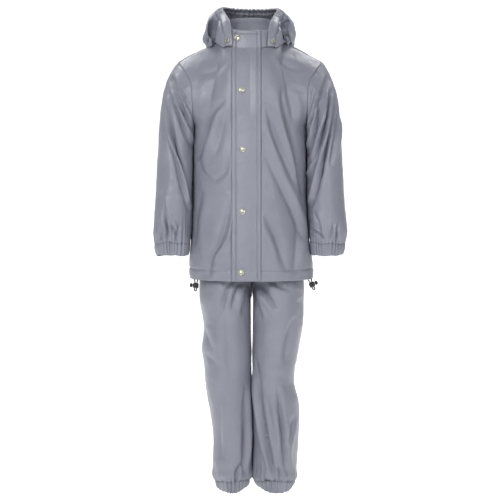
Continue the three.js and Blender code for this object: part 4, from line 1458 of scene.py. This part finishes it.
@dataclass(frozen=True)
class Snap:
    """A press snap's cap: a shallow dish in a rolled rim."""

    radius: float
    steps: int = 40
    profile: Sequence[tuple[float, float]] = (
        (0.0, 0.28), (0.3, 0.27), (0.52, 0.22), (0.66, 0.14), (0.74, 0.12), (0.81, 0.22), (0.87, 0.33),
        (0.93, 0.35), (0.99, 0.27), (1.0, 0.16), (0.95, 0.04), (0.88, 0.0), (0.0, 0.0),
    )

    def build(self, node: str, place: Array, out: Array, finishes: Finishes) -> bpy.types.Object:
        """Makes the cap.

        Args:
            node: The solid that it stands for.
            place: Its centre on the cloth, in millimetres.
            out: The way it faces.
            finishes: The suit's materials.

        Returns:
            The cap.
        """
        work = bmesh.new()
        size = self.radius * MM
        line = [work.verts.new((r * size, 0, h * size)) for r, h in self.profile]
        edges = [work.edges.new(pair) for pair in zip(line, line[1:])]
        bmesh.ops.spin(
            work, geom=line + edges, cent=(0, 0, 0), axis=(0, 0, 1), angle=2 * math.pi,
            steps=self.steps, use_merge=True,
        )
        bmesh.ops.remove_doubles(work, verts=work.verts, dist=1e-6)
        bmesh.ops.recalc_face_normals(work, faces=work.faces)
        for part in work.faces:
            part.smooth = True
        turn = Vector((0, 0, 1)).rotation_difference(Vector(out)).to_matrix().to_4x4()
        shift = Matrix.Translation(Vector(place) * MM)
        bmesh.ops.transform(work, matrix=shift @ turn, verts=work.verts)
        piece = finished(work, node + "_cap", finishes.snap)
        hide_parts(node)
        return piece


@dataclass
class HoodForm:
    """The hood's plain form, in millimetres: where it hangs folded behind the collar."""

    jacket: JacketForm
    band: float = 18
    off_back: float = 5
    tilt: float = 0.022
    tilt_from: float = -65
    stations: Table = Table("at neck outX outY low high edgeX edgeY edgeZ", [
        (0.05, 48, 52, -50, -4, -3, 38, -60, -3),
        (0.12, 54, 59, -46, -1, 16, 38, -60, 16),
        (0.25, 66, 71, -29, 8, 45, 43, -40, 52),
        (0.35, 78, 77, 4, 14, 58, 52, -8, 72),
        (0.45, 88, 92, -8, 13, 66, 57, 12, 82),
        (0.57, 102, 95, 22, 8, 68, 59, 34, 89),
        (0.71, 124, 89, 72, -30, 67, 52, 54, 93),
        (0.86, 150, 58, 116, -78, 60, 31, 79, 94),
        (1, 180, 0, 132, -98, 56, 0, 86, 94),
    ])

    def on_back(self, x: Array, z: Array) -> Array:
        """The points just off the jacket's back.

        Args:
            x: Sideways places, seen from behind.
            z: Levels.

        Returns:
            The points.
        """
        low, high = np.zeros_like(x), np.full_like(x, 1.999)
        for _ in range(SEARCH_STEPS):
            v = (low + high) / 2
            u = self.jacket.column(1.0, Face.BACK, x, v)
            below = self.jacket.body(1.0, Face.BACK, u, v)[..., 2] < z
            low, high = np.where(below, v, low), np.where(below, high, v)
        step = 0.0005
        spot, right, left, above, under = (
            self.jacket.body(1.0, Face.BACK, u + du, v + dv)
            for du, dv in ((0, 0), (step, 0), (-step, 0), (0, step), (0, -step))
        )
        out = -unit(np.cross(right - left, above - under))
        out[..., 0] *= smooth(0, 0.3, u)
        return spot + out * self.off_back

    def lines(self, side: float, at: Array) -> Array:
        """The cloth's lines from the neck seam to the free edge.

        Args:
            side: -1 on the wearer's right, 1 on the left.
            at: Stations from the hood's front end (0) to the centre back (1).

        Returns:
            A dense line of points for each station, points by stations.
        """
        row = self.stations.at(at)
        root = self.jacket.neck.at(row["neck"])
        root = root + unit(root * (1, 1, 0)) * 3.2 + (0, 0, 2.5)
        pouch = smooth(0.45, 0.72, at)[:, None]
        knots = [root]
        for share, fall in ((0.3, 0.3), (0.6, 0.8)):
            spot = points(
                lerp(root[:, 0], row["outX"], share),
                lerp(root[:, 1], row["outY"], share),
                lerp(lerp(root[:, 2], row["high"], 0.1), row["low"], fall),
            )
            knots.append(lerp(spot, self.on_back(np.abs(spot[:, 0]), spot[:, 2]), pouch))
        lower = knots[-1]
        turn = points(lerp(lower[:, 0], row["outX"], 0.55), lerp(lower[:, 1], row["outY"], 0.55), row["low"])
        outer = points(row["outX"], row["outY"], lerp(row["low"], row["high"], 0.45))
        upper = points(
            lerp(row["edgeX"], row["outX"], 0.72), lerp(row["edgeY"], row["outY"], 0.72), row["high"]
        )
        edge = points(row["edgeX"], row["edgeY"], row["edgeZ"])
        knots = np.array(knots + [turn, outer, upper, edge])
        knots[..., 0] *= side
        rise = smooth(0.5, 1, np.arange(7) / 6)[:, None]
        knots[..., 2] -= self.tilt * (knots[..., 0] - self.tilt_from) * rise
        return spline(knots, 24)

    def surface(self, side: float, at: Array, low: Optional[float], high: float, s: Array) -> Array:
        """A grid of hood points.

        Args:
            side: -1 on the wearer's right, 1 on the left.
            at: The stations.
            low: Millimetres from the free edge where the rows begin, or None for the neck seam.
            high: Millimetres from the free edge where they end.
            s: The rows, from 0 to 1.

        Returns:
            Points, rows by stations.
        """
        lines = self.lines(side, at)
        steps = np.linalg.norm(np.diff(lines, axis=0), axis=-1)
        run = np.pad(np.cumsum(steps, axis=0), ((1, 0), (0, 0)))
        start = np.zeros_like(at) if low is None else run[-1] - low
        wanted = lerp(start, run[-1] - high, s[:, None])
        columns = [
            np.stack([np.interp(wanted[:, i], run[:, i], lines[:, i, k]) for k in range(3)], axis=-1)
            for i in range(len(at))
        ]
        return np.stack(columns, axis=1)


@dataclass
class Hood:
    """The hood: two halves that meet at the centre back, and the gathered edge casing."""

    form: HoodForm
    finishes: Finishes
    columns: int = 140
    rows: int = 76
    gathers: float = 30
    tuck: float = 6.0
    snap_round: float = 0.9
    snap_radius: float = 5.0
    wave: float = 2.2
    puff: float = 2.4
    stitch: float = 1.5
    casing_stitch: float = 1.6

    def ruche(self, around: Array) -> Array:
        """The uneven gathers along the hood's edge.

        Args:
            around: Places round it, from -1 at the right front end to 1 at the left one.

        Returns:
            Their height, from -1 to 1.
        """
        strength = smooth(-0.64, -0.45, around) * (1 - smooth(0.6, 0.74, around)) * 0.85 + 0.15
        drift = 0.9 * np.sin(around * 23) + 0.5 * np.sin(around * 61)
        size = 0.75 + 0.25 * np.sin(around * 37 + 1)
        fold = np.abs(np.cos(around / 1.22 * math.pi * self.gathers + drift / 2))
        return (2 * fold - 1) * size * strength

    def build(self) -> None:
        """Makes the halves, the casing and the two snaps."""
        lines = []
        for node, side in (("hood_right", -1), ("hood_left", 1)):
            at = np.linspace(0.06, 0.9997, self.columns)
            s = np.linspace(0, 1, self.rows)
            cloth = Cloth(self.form.surface(side, at, None, self.form.band - self.tuck, s), side)
            x, y, z = np.moveaxis(cloth.place, -1, 0)
            wave = self.ruche(side * (1 - at))[None, :]
            relief = self.wave * wave * np.exp(-np.maximum(cloth.high - self.tuck, 0) / 12)
            relief -= 1.5 * (1 - smooth(self.tuck - 2, self.tuck + 2, cloth.high))
            relief -= 1.0 * bump(cloth.right, 1.8)
            relief += crease_height(HOOD_CREASES, x, z) * smooth(45, 25, y)
            cloth.lift(relief).crumple(0.75, 24, 31)
            cloth.measure()
            lines.append(cloth.line(Edge.HIGH, self.tuck + self.stitch))
            dress(cloth, node, self.finishes)
        lines += self.casing()
        Stitching().sew("hood_stitches", lines, self.finishes)

    def casing(self) -> list[tuple[Array, Array]]:
        """Makes the gathered edge casing.

        Returns:
            Its stitch lines.
        """
        around = np.concatenate([
            np.linspace(-0.94, -0.56, 40, endpoint=False),
            np.linspace(-0.56, 0.66, 300, endpoint=False),
            np.linspace(0.66, 0.94, 30),
        ])
        s = np.linspace(0, 1, 9)
        halves = []
        for side, part in ((-1, around[around < 0]), (1, around[around >= 0])):
            halves.append(self.form.surface(side, 1 - np.abs(part), self.form.band, 0.0, s))
        cloth = Cloth(np.concatenate(halves, axis=1), -1)
        cloth.lift(self.puff * np.sin(math.pi * s[:, None]) + self.wave * self.ruche(around)[None, :])
        cloth.measure()
        lines = [cloth.line(Edge.LOW, self.casing_stitch)]
        out = cloth.out()
        for word, side in (("right", -1), ("left", 1)):
            spot = len(s) // 2, int(np.argmin(np.abs(around - side * self.snap_round)))
            Snap(self.snap_radius).build(f"hood_snap_{word}", cloth.place[spot], out[spot], self.finishes)
        dress(cloth.fold(Edge.HIGH, 1.6, WHOLE_DEPTH, 1), "hood_edge", self.finishes)
        return lines


@dataclass
class Sleeve:
    """A sleeve with its elastic cuff."""

    jacket: JacketForm
    finishes: Finishes
    side: Side
    end_z: float = -410
    head_reach: float = 0.45
    head_power: float = 3.5
    columns: int = 193
    rows: int = 136
    softness: Softness = Softness(1.5, 36, 0.7, 19, 17, 17)
    gathers: int = 31
    gather_height: float = 2.4
    cuff_depth: float = 24
    cuff_spread: tuple[float, float, float] = (1.0, 0.96, 0.92)
    inner_swell: float = 11
    ovals: Table = Table("z cx hx cy hy", [
        (-412, 161.5, 34.5, -17, 40),
        (-386, 163, 39, -15, 47),
        (-310, 159.2, 38.4, -9, 52),
        (-227, 156.9, 36.5, -4, 55),
        (-143, 154.7, 34.6, -2, 57),
        (-29, 153, 35.5, 0, 56),
    ])

    def surface(self, around: Array, s: Array) -> Array:
        """The plain tube.

        Args:
            around: From the armpit (0) by the front to the shoulder tip (1) and by the back (2).
            s: From the armhole (0) to the cuff's seam (1).

        Returns:
            The points.
        """
        is_front = around <= 1
        t = np.where(is_front, around, 2 - around)
        front, back = (self.jacket.armhole(face).at(t) for face in (Face.FRONT, Face.BACK))
        start = {key: np.where(is_front, front[key], back[key]) for key in ("x", "y", "z")}
        start_x, start_z = start["x"] - 0.5, start["z"] - 0.4 * (1 - t)
        z = lerp(start_z, self.end_z, s)
        oval = self.ovals.at(z)
        turn = math.pi * (1 - t)
        settled = 1 - (1 - np.minimum(1, s / self.head_reach)) ** self.head_power
        way = np.where(is_front, -1, 1)
        x = lerp(start_x, oval["cx"] + oval["hx"] * np.cos(turn), settled)
        y = lerp(start["y"], oval["cy"] + way * oval["hy"] * np.sin(turn), settled)
        return points(self.side.value * x, y, z)

    def build(self) -> None:
        """Makes the sleeve and its cuff."""
        side = self.side
        word = side.name.lower()
        around, s = grid(np.linspace(0, 2, self.columns), np.linspace(0, 1, self.rows))
        cloth = Cloth(self.surface(around, s), -side.value, is_round=True)
        x, y, z = np.moveaxis(cloth.place, -1, 0)
        middle = self.ovals.at(z)["cy"]
        clear = smooth(0, 0.06, s) * smooth(0, 0.03, 1 - s) * smooth(0, 14, np.abs(y - middle))
        front, back = (crease_height(SLEEVE_CREASES[side][face], x, z) for face in (Face.FRONT, Face.BACK))
        relief = np.where(y < middle, front, back) * clear
        relief -= 0.5 * bump(cloth.low, 1.6)
        swell = bump(around - 1.82, 0.1) * smooth(0.0, 0.16, s) * smooth(-409, -385, z)
        relief += self.inner_swell * swell
        row = self.ovals.row(self.end_z)
        seam = Oval(side.value * row["cx"], row["cy"], row["hx"], row["hy"], self.end_z)
        elastic = Elastic(seam, self.gathers, self.gather_height, side.value)
        turn = seam.turn(x, y)
        self.softness.soften(cloth.lift(relief + elastic.puckers(turn, cloth)))
        elastic.settle(turn, cloth)
        cloth.measure()
        dress(cloth, f"sleeve_{word}", self.finishes)
        casing = Casing(elastic, self.cuff_depth, 0, self.cuff_spread, self.softness, self.finishes)
        casing.build(f"cuff_{word}", "cuff")


@dataclass
class Casing:
    """An elastic casing at a cuff or an ankle: a ring with uneven gathers and a folded edge."""

    elastic: Elastic
    depth: float
    dip: float
    spread: tuple[float, float, float]
    softness: Softness
    finishes: Finishes
    rows: int = 12
    columns_a_gather: int = 9
    belly: float = 1.4
    stitch: float = 2.0

    def build(self, node: str, cut: str) -> None:
        """Makes the ring and its row of stitches.

        Args:
            node: The solid that it stands for.
            cut: Not used.
        """
        elastic, seam, seed = self.elastic, self.elastic.oval, self.elastic.seed
        columns = self.columns_a_gather * elastic.count + 1
        turn, v = grid(np.linspace(0, 2 * math.pi, columns), np.linspace(0, 1, self.rows))
        spread = np.interp(v, (0, 0.5, 1), self.spread)
        fall = (self.depth + self.dip * np.sin(turn) ** 2) * v
        cloth = Cloth(points(
            seam.cx + seam.hx * spread * np.cos(turn),
            seam.cy + seam.hy * spread * np.sin(turn),
            seam.z - fall + sag(turn, seed) + v * sag(turn, seed + 2),
        ), -1, is_round=True)
        pleat = gathers(turn + 0.05 * v * np.sin(4 * turn), elastic.count, seed)
        pleat = pleat + 0.35 * v * gathers(turn, 2.3 * elastic.count, seed + 1)
        relief = elastic.height * pleat * (1 - 0.35 * v) + self.belly * np.sin(math.pi * v)
        self.softness.soften(cloth.lift(relief - 0.5 * bump(cloth.low, 1.5)))
        cloth.measure()
        lines = [cloth.line(Edge.LOW, self.stitch)]
        dress(cloth.fold(Edge.HIGH, 1.1, WHOLE_DEPTH, 2), node, self.finishes)
        Stitching().sew(node + "_stitches", lines, self.finishes)


@dataclass
class TrouserForm:
    """The trousers' plain form, in millimetres."""

    waist_top: float = -296
    waist_depth: float = 30
    crotch_start: float = -400
    crotch_z: float = -504
    crotch_x: float = 4
    crotch_power: float = 2.5
    leg_end: float = -905
    hips: Table = Table("z half front back", [
        (-510, 110, 84, 92), (-450, 110.5, 86, 92), (-380, 113, 84, 87), (-326, 116.4, 77, 79),
        (-296, 117, 76, 78),
    ])
    right: Table = Table("z outer inner depth cy", [
        (-928, -66, -10, 44, -1), (-905, -71, -4, 50, -1), (-885, -79, 2.4, 57, -1), (-815, -78, 3.2, 60, -2),
        (-764, -84, 3.2, 61, -3), (-705, -93, 3.2, 62, -4), (-650, -95, 3, 65, -4), (-620, -98, 3, 67, -4),
        (-580, -97, 1.5, 69, -4), (-529, -105, 1.5, 73, -2), (-504, -106, 3.2, 75, 0),
    ])
    left: Table = Table("z outer inner depth cy", [
        (-928, 84, 20, 44, -1), (-905, 93, 13, 50, -1), (-885, 97.5, 6.4, 57, -1), (-815, 102, 5, 60, -2),
        (-740, 101.5, 5, 61, -3), (-697, 93, 5, 62, -4), (-620, 104, 5, 66, -4), (-580, 110, 6.5, 69, -4),
        (-529, 112, 6.5, 73, -2), (-504, 114.5, 5, 75, 0),
    ])

    def leg(self, side: Side) -> Table:
        """The sections of one leg."""
        return self.right if side is Side.RIGHT else self.left

    def surface(self, side: Side, u: Array, z: Array) -> Array:
        """One half of the trousers.

        Args:
            side: Which half.
            u: From the centre front (0) round the outside to the centre back (1).
            z: The level.

        Returns:
            The points.
        """
        hip = self.hips.at(np.maximum(z, self.hips.rows[0, 0]))
        leg = self.leg(side).at(np.minimum(z, self.crotch_z))
        centre = self.crotch_x * smooth(self.waist_top, self.crotch_z, z)
        depth = np.where(u < 0.5, hip["front"], hip["back"])
        hip_x = centre + side.value * hip["half"] * np.sin(math.pi * u)
        hip_y = -depth * np.cos(math.pi * u)
        middle = (leg["inner"] + leg["outer"]) / 2
        leg_x = middle + (leg["inner"] - middle) * np.cos(2 * math.pi * u)
        leg_y = leg["cy"] - leg["depth"] * np.sin(2 * math.pi * u)
        below = (self.crotch_start - z) / (self.crotch_start - self.crotch_z)
        close = np.clip(below, 0, 1) ** self.crotch_power
        return points(lerp(hip_x, leg_x, close), lerp(hip_y, leg_y, close), z)


@dataclass
class Trousers:
    """The trousers: four leg panels, the waistband and two elastic ankles."""

    form: TrouserForm
    finishes: Finishes
    columns: int = 70
    rows: int = 196
    seam_dip: float = 0.5
    seam_gap: float = 0.4
    softness: Softness = Softness(1.7, 40, 0.8, 22, 41, 41)
    gathers: int = 25
    gather_height: float = 3.4
    ankle_depth: float = 14
    ankle_dip: float = 12
    ankle_spread: tuple[float, float, float] = (1.015, 0.94, 0.86)
    ankle_swell: float = 3.5
    crotch_ease: float = 1.2
    knee_swell: float = 3.5
    inner_swell: float = 10

    def build(self) -> None:
        """Makes every piece of the trousers."""
        for side in Side:
            row = self.form.leg(side).row(self.form.leg_end)
            seam = Oval(
                (row["inner"] + row["outer"]) / 2, row["cy"],
                abs(row["outer"] - row["inner"]) / 2, row["depth"], self.form.leg_end,
            )
            elastic = Elastic(seam, self.gathers, self.gather_height, side.value + 4)
            for face in Face:
                name = f"trouser_{face.name.lower()}_{side.name.lower()}"
                dress(self.panel(side, face, elastic), name, self.finishes)
            casing = Casing(
                elastic, self.ankle_depth, self.ankle_dip, self.ankle_spread, self.softness, self.finishes
            )
            casing.build(f"ankle_{side.name.lower()}", "ankle")
        self.waistband()

    def panel(self, side: Side, face: Face, elastic: Elastic) -> Cloth:
        """Shapes one leg panel.

        Args:
            side: Which leg.
            face: The front or the back.
            elastic: The gathers at its ankle.

        Returns:
            The shaped cloth.
        """
        top = self.form.waist_top - self.form.waist_depth - self.seam_gap
        start, end = (0, 0.5) if face is Face.FRONT else (0.5, 1)
        u, z = grid(
            spaced(start + SEAM_SHARE, end - SEAM_SHARE, self.columns),
            np.linspace(top, self.form.leg_end, self.rows),
        )
        cloth = Cloth(self.form.surface(side, u, z), -side.value)
        crotch = bump(np.minimum(u, 1 - u), 0.03) * smooth(-535, -515, z)
        cloth.place[..., 0] -= side.value * self.crotch_ease * crotch
        x, y = cloth.place[..., 0], cloth.place[..., 1]
        clear = smooth(0, 0.05, u) * smooth(0, 0.05, 1 - u) * smooth(0, 0.05, np.abs(u - 0.5))
        relief = crease_height(TROUSER_CREASES[face], x, z) * clear
        relief -= self.seam_dip * (bump(cloth.left, 1.8) + bump(cloth.right, 1.8))
        if side is Side.RIGHT:
            meet = np.maximum(smooth(-560, -740, z), smooth(-534, -518, z)) * smooth(-895, -880, z)
            relief += self.knee_swell * bump(u - 0.5, 0.1) * bump(z + 640, 24)
            relief += self.inner_swell * bump(u - 0.911, 0.04) * meet
        turn = elastic.oval.turn(x, y)
        relief += elastic.puckers(turn, cloth) + self.ankle_swell * bump(cloth.high - 10, 9)
        self.softness.soften(cloth.lift(relief))
        elastic.settle(turn, cloth)
        cloth.measure()
        return cloth

    def waistband(self) -> None:
        """Makes the waistband, which the jacket hides."""
        around, v = grid(np.linspace(0, 2, 121), np.linspace(0, 1, 10))
        z = self.form.waist_top - self.form.waist_depth * v
        u = np.where(around < 1, around, 2 - around)
        halves = [self.form.surface(side, u, z) for side in (Side.LEFT, Side.RIGHT)]
        cloth = Cloth(np.where((around < 1)[..., None], halves[0], halves[1]), -1, is_round=True)
        pleat = np.cos(around * math.pi * 44 + np.sin(around * 9))
        cloth.lift(0.9 * pleat * np.sin(math.pi * v) + 1.2 * np.sin(math.pi * v) - 0.8)
        cloth.measure()
        cloth.fold(Edge.LOW, HEM_FOLD, WHOLE_DEPTH, 2)
        dress(cloth, "trouser_waistband", self.finishes)


@dataclass
class Toggle:
    """A short loop of hem cord through a sprung cord lock."""

    jacket: JacketForm
    finishes: Finishes
    side: Side
    x: float
    tilt: float
    plunger: int
    drop: float = 13.5
    radius: float = 5.4
    length: float = 12
    plunger_radius: float = 4.2
    plunger_length: float = 6
    plunger_gap: float = 0.4
    rim: float = 2.4
    cord_radius: float = 1.2
    route: Sequence[tuple[float, float]] = (
        (3.2, -0.6), (3.1, -3), (2.3, -6), (1.7, -8.5), (1.6, -12),
        (1.6, -16), (1.9, -19.5), (2.4, -21.5), (1.7, -23.6), (0, -24.6),
    )

    def place(self) -> Matrix:
        """Where the loop leaves the hem, and how it swings.

        Returns:
            The place and the turn of everything on the loop, in metres.
        """
        side = float(self.side.value)
        u = self.jacket.column(side, Face.FRONT, np.array(self.x), np.array(0.0))
        step = 0.0005
        spot = self.jacket.body(side, Face.FRONT, u, np.array(0.0))
        along_u = self.jacket.body(side, Face.FRONT, u + step, np.array(0.0)) - spot
        along_v = self.jacket.body(side, Face.FRONT, u, np.array(step)) - spot
        out = unit(np.cross(along_u, along_v)) * side
        spot = spot - out * CLOTH_THICKNESS
        return Matrix.Translation(Vector(spot) * MM) @ Matrix.Rotation(math.radians(self.tilt), 4, "Y")

    def braid(self, at: Matrix) -> tuple[bpy.types.Object, list[Vector]]:
        """Makes the loop of cord.

        Args:
            at: Where it leaves the hem, and how it swings.

        Returns:
            The cord and the points of its route, in metres.
        """
        word = self.side.name.lower()
        half = [(x, 0.0, z) for x, z in self.route]
        whole = half + [(-x, y, z) for x, y, z in reversed(half[:-1])]
        line = [at @ (Vector(spot) * MM) for spot in spline(np.array(whole), 3)]
        curve = bpy.data.curves.new(f"drawcord_{word}_braid", "CURVE")
        curve.dimensions = "3D"
        run = curve.splines.new("POLY")
        run.points.add(len(line) - 1)
        for point, spot in zip(run.points, line):
            point.co = (*spot, 1.0)
        curve.bevel_depth = self.cord_radius * MM
        curve.bevel_resolution = 4
        curve.use_fill_caps = True
        curve.materials.append(self.finishes.cord)
        cord = bpy.data.objects.new(f"drawcord_{word}_braid", curve)
        bpy.context.scene.collection.objects.link(cord)
        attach(cord, "root")
        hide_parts(f"drawcord_{word}")
        return cord, line

    def build(self) -> None:
        """Makes the cord, the lock and its plunger."""
        word = self.side.name.lower()
        at = self.place()
        cord, line = self.braid(at)
        lock = self.barrel(f"cord_lock_{word}", at, 0.0, self.length, self.radius)
        offset = self.plunger * (self.length / 2 + self.plunger_length / 2 + self.plunger_gap)
        button = self.barrel(f"lock_plunger_{word}", at, offset, self.plunger_length, self.plunger_radius)

    def barrel(self, node: str, at: Matrix, offset: float, length: float, radius: float) -> bpy.types.Object:
        """Makes a round plastic body that lies across the cord.

        Args:
            node: The solid that it stands for.
            at: Where the cord leaves the hem.
            offset: How far the body is along its axis.
            length: Its length.
            radius: Its radius.

        Returns:
            The body.
        """
        work = bmesh.new()
        bmesh.ops.create_cone(
            work, cap_ends=True, segments=32, radius1=radius * MM, radius2=radius * MM, depth=length * MM
        )
        rims = [edge for edge in work.edges if abs(edge.verts[0].co.z - edge.verts[1].co.z) < 1e-7]
        bmesh.ops.bevel(
            work, geom=rims, offset=self.rim * MM, offset_type="OFFSET", segments=4, profile=0.5,
            affect="EDGES", material=-1,
        )
        for part in work.faces:
            part.smooth = True
        turn = Matrix.Rotation(math.radians(90), 4, "Y")
        shift = Matrix.Translation(Vector((offset, 0, -self.drop)) * MM)
        bmesh.ops.transform(work, matrix=at @ shift @ turn, verts=work.verts)
        piece = finished(work, node + "_body", self.finishes.plastic)
        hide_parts(node)
        return piece


@dataclass(frozen=True)
class Lamp:
    """A square soft light: metres, watts and degrees."""

    name: str
    place: tuple[float, float, float]
    target: tuple[float, float, float]
    size: float
    power: float
    spread: float

    def build(self) -> None:
        """Hangs the light and aims it."""
        lamp = bpy.data.lights.new(self.name, "AREA")
        lamp.size = self.size
        lamp.energy = self.power
        lamp.spread = math.radians(self.spread)
        light = bpy.data.objects.new(self.name, lamp)
        light.location = self.place
        aim = Vector(self.target) - light.location
        light.rotation_euler = aim.to_track_quat("-Z", "Y").to_euler()
        bpy.context.scene.collection.objects.link(light)


@dataclass(frozen=True)
class Studio:
    """The picture: camera, soft lights, pale floor and backdrop."""

    camera_distance: float = 4.0
    camera_height: float = -0.424
    lens: float = 137.0
    sensor: float = 36.0
    floor_z: float = -0.975
    floor_half: float = 6.0
    floor_back: float = 3.0
    backdrop_height: float = 9.0
    sky: float = 0.07
    lamps: Sequence[Lamp] = (
        Lamp("left_softbox", (-0.9, -2.0, 0.58), (0, 0, -0.2), 1.0, 8.9, 100),
        Lamp("right_softbox", (1.1, -2.0, 0.4), (0, 0, -0.2), 1.0, 4.7, 100),
        Lamp("top_softbox", (0.0, -1.4, 2.6), (0, 0, -0.45), 1.6, 2.0, 180),
        Lamp("left_paper_light", (-1.8, 2.0, 2.6), (-1.0, 4.0, -1.0), 2.0, 190.0, 180),
        Lamp("right_paper_light", (1.8, 2.0, 2.6), (1.0, 4.0, -1.0), 2.0, 190.0, 180),
    )

    def build(self) -> None:
        """Sets up the picture."""
        self.camera()
        self.paper()
        world = bpy.data.worlds.new("studio")
        world.use_nodes = True
        background = world.node_tree.nodes["Background"]
        background.inputs["Color"].default_value = (1, 1, 1, 1)
        background.inputs["Strength"].default_value = self.sky
        bpy.context.scene.world = world
        bpy.context.scene.view_settings.view_transform = "Standard"
        for lamp in self.lamps:
            lamp.build()

    def camera(self) -> None:
        """Sets the camera level, straight in front."""
        camera = bpy.data.objects.new("camera", bpy.data.cameras.new("camera"))
        camera.data.lens = self.lens
        camera.data.sensor_width = self.sensor
        camera.location = (0, -self.camera_distance, self.camera_height)
        camera.rotation_euler = (math.radians(90), 0, 0)
        bpy.context.scene.collection.objects.link(camera)
        bpy.context.scene.camera = camera

    def paper(self) -> None:
        """Lays the floor and raises the backdrop at its far edge."""
        work = bmesh.new()
        bmesh.ops.create_grid(work, x_segments=1, y_segments=1, size=self.floor_half)
        bmesh.ops.translate(work, vec=(0, self.floor_back, self.floor_z), verts=work.verts)
        far = [edge for edge in work.edges if all(vertex.co.y > self.floor_half for vertex in edge.verts)]
        raised = bmesh.ops.extrude_edge_only(work, edges=far)["geom"]
        tops = [part for part in raised if isinstance(part, bmesh.types.BMVert)]
        bmesh.ops.translate(work, vec=(0, 0, self.backdrop_height), verts=tops)
        mesh = bpy.data.meshes.new("floor")
        work.to_mesh(mesh)
        work.free()
        mesh.materials.append(StudioPaper().material("studio_paper"))
        floor = bpy.data.objects.new("floor", mesh)
        bpy.context.scene.collection.objects.link(floor)


def main() -> None:
    """Builds the suit and its picture."""
    logging.basicConfig(level=logging.INFO, format="%(message)s")
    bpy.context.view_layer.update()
    Studio().build()
    finishes = Finishes()
    form = JacketForm()
    for side, x, tilt, plunger in ((Side.RIGHT, -112.5, 4, -1), (Side.LEFT, 124.5, -24, 1)):
        Toggle(form, finishes, side, x, tilt, plunger).build()
    Jacket(form, finishes).build()
    Hood(HoodForm(form), finishes).build()
    for side in Side:
        Sleeve(form, finishes, side).build()
    Trousers(TrouserForm(), finishes).build()
    bpy.context.view_layer.update()


if __name__ == "__main__":
    main()
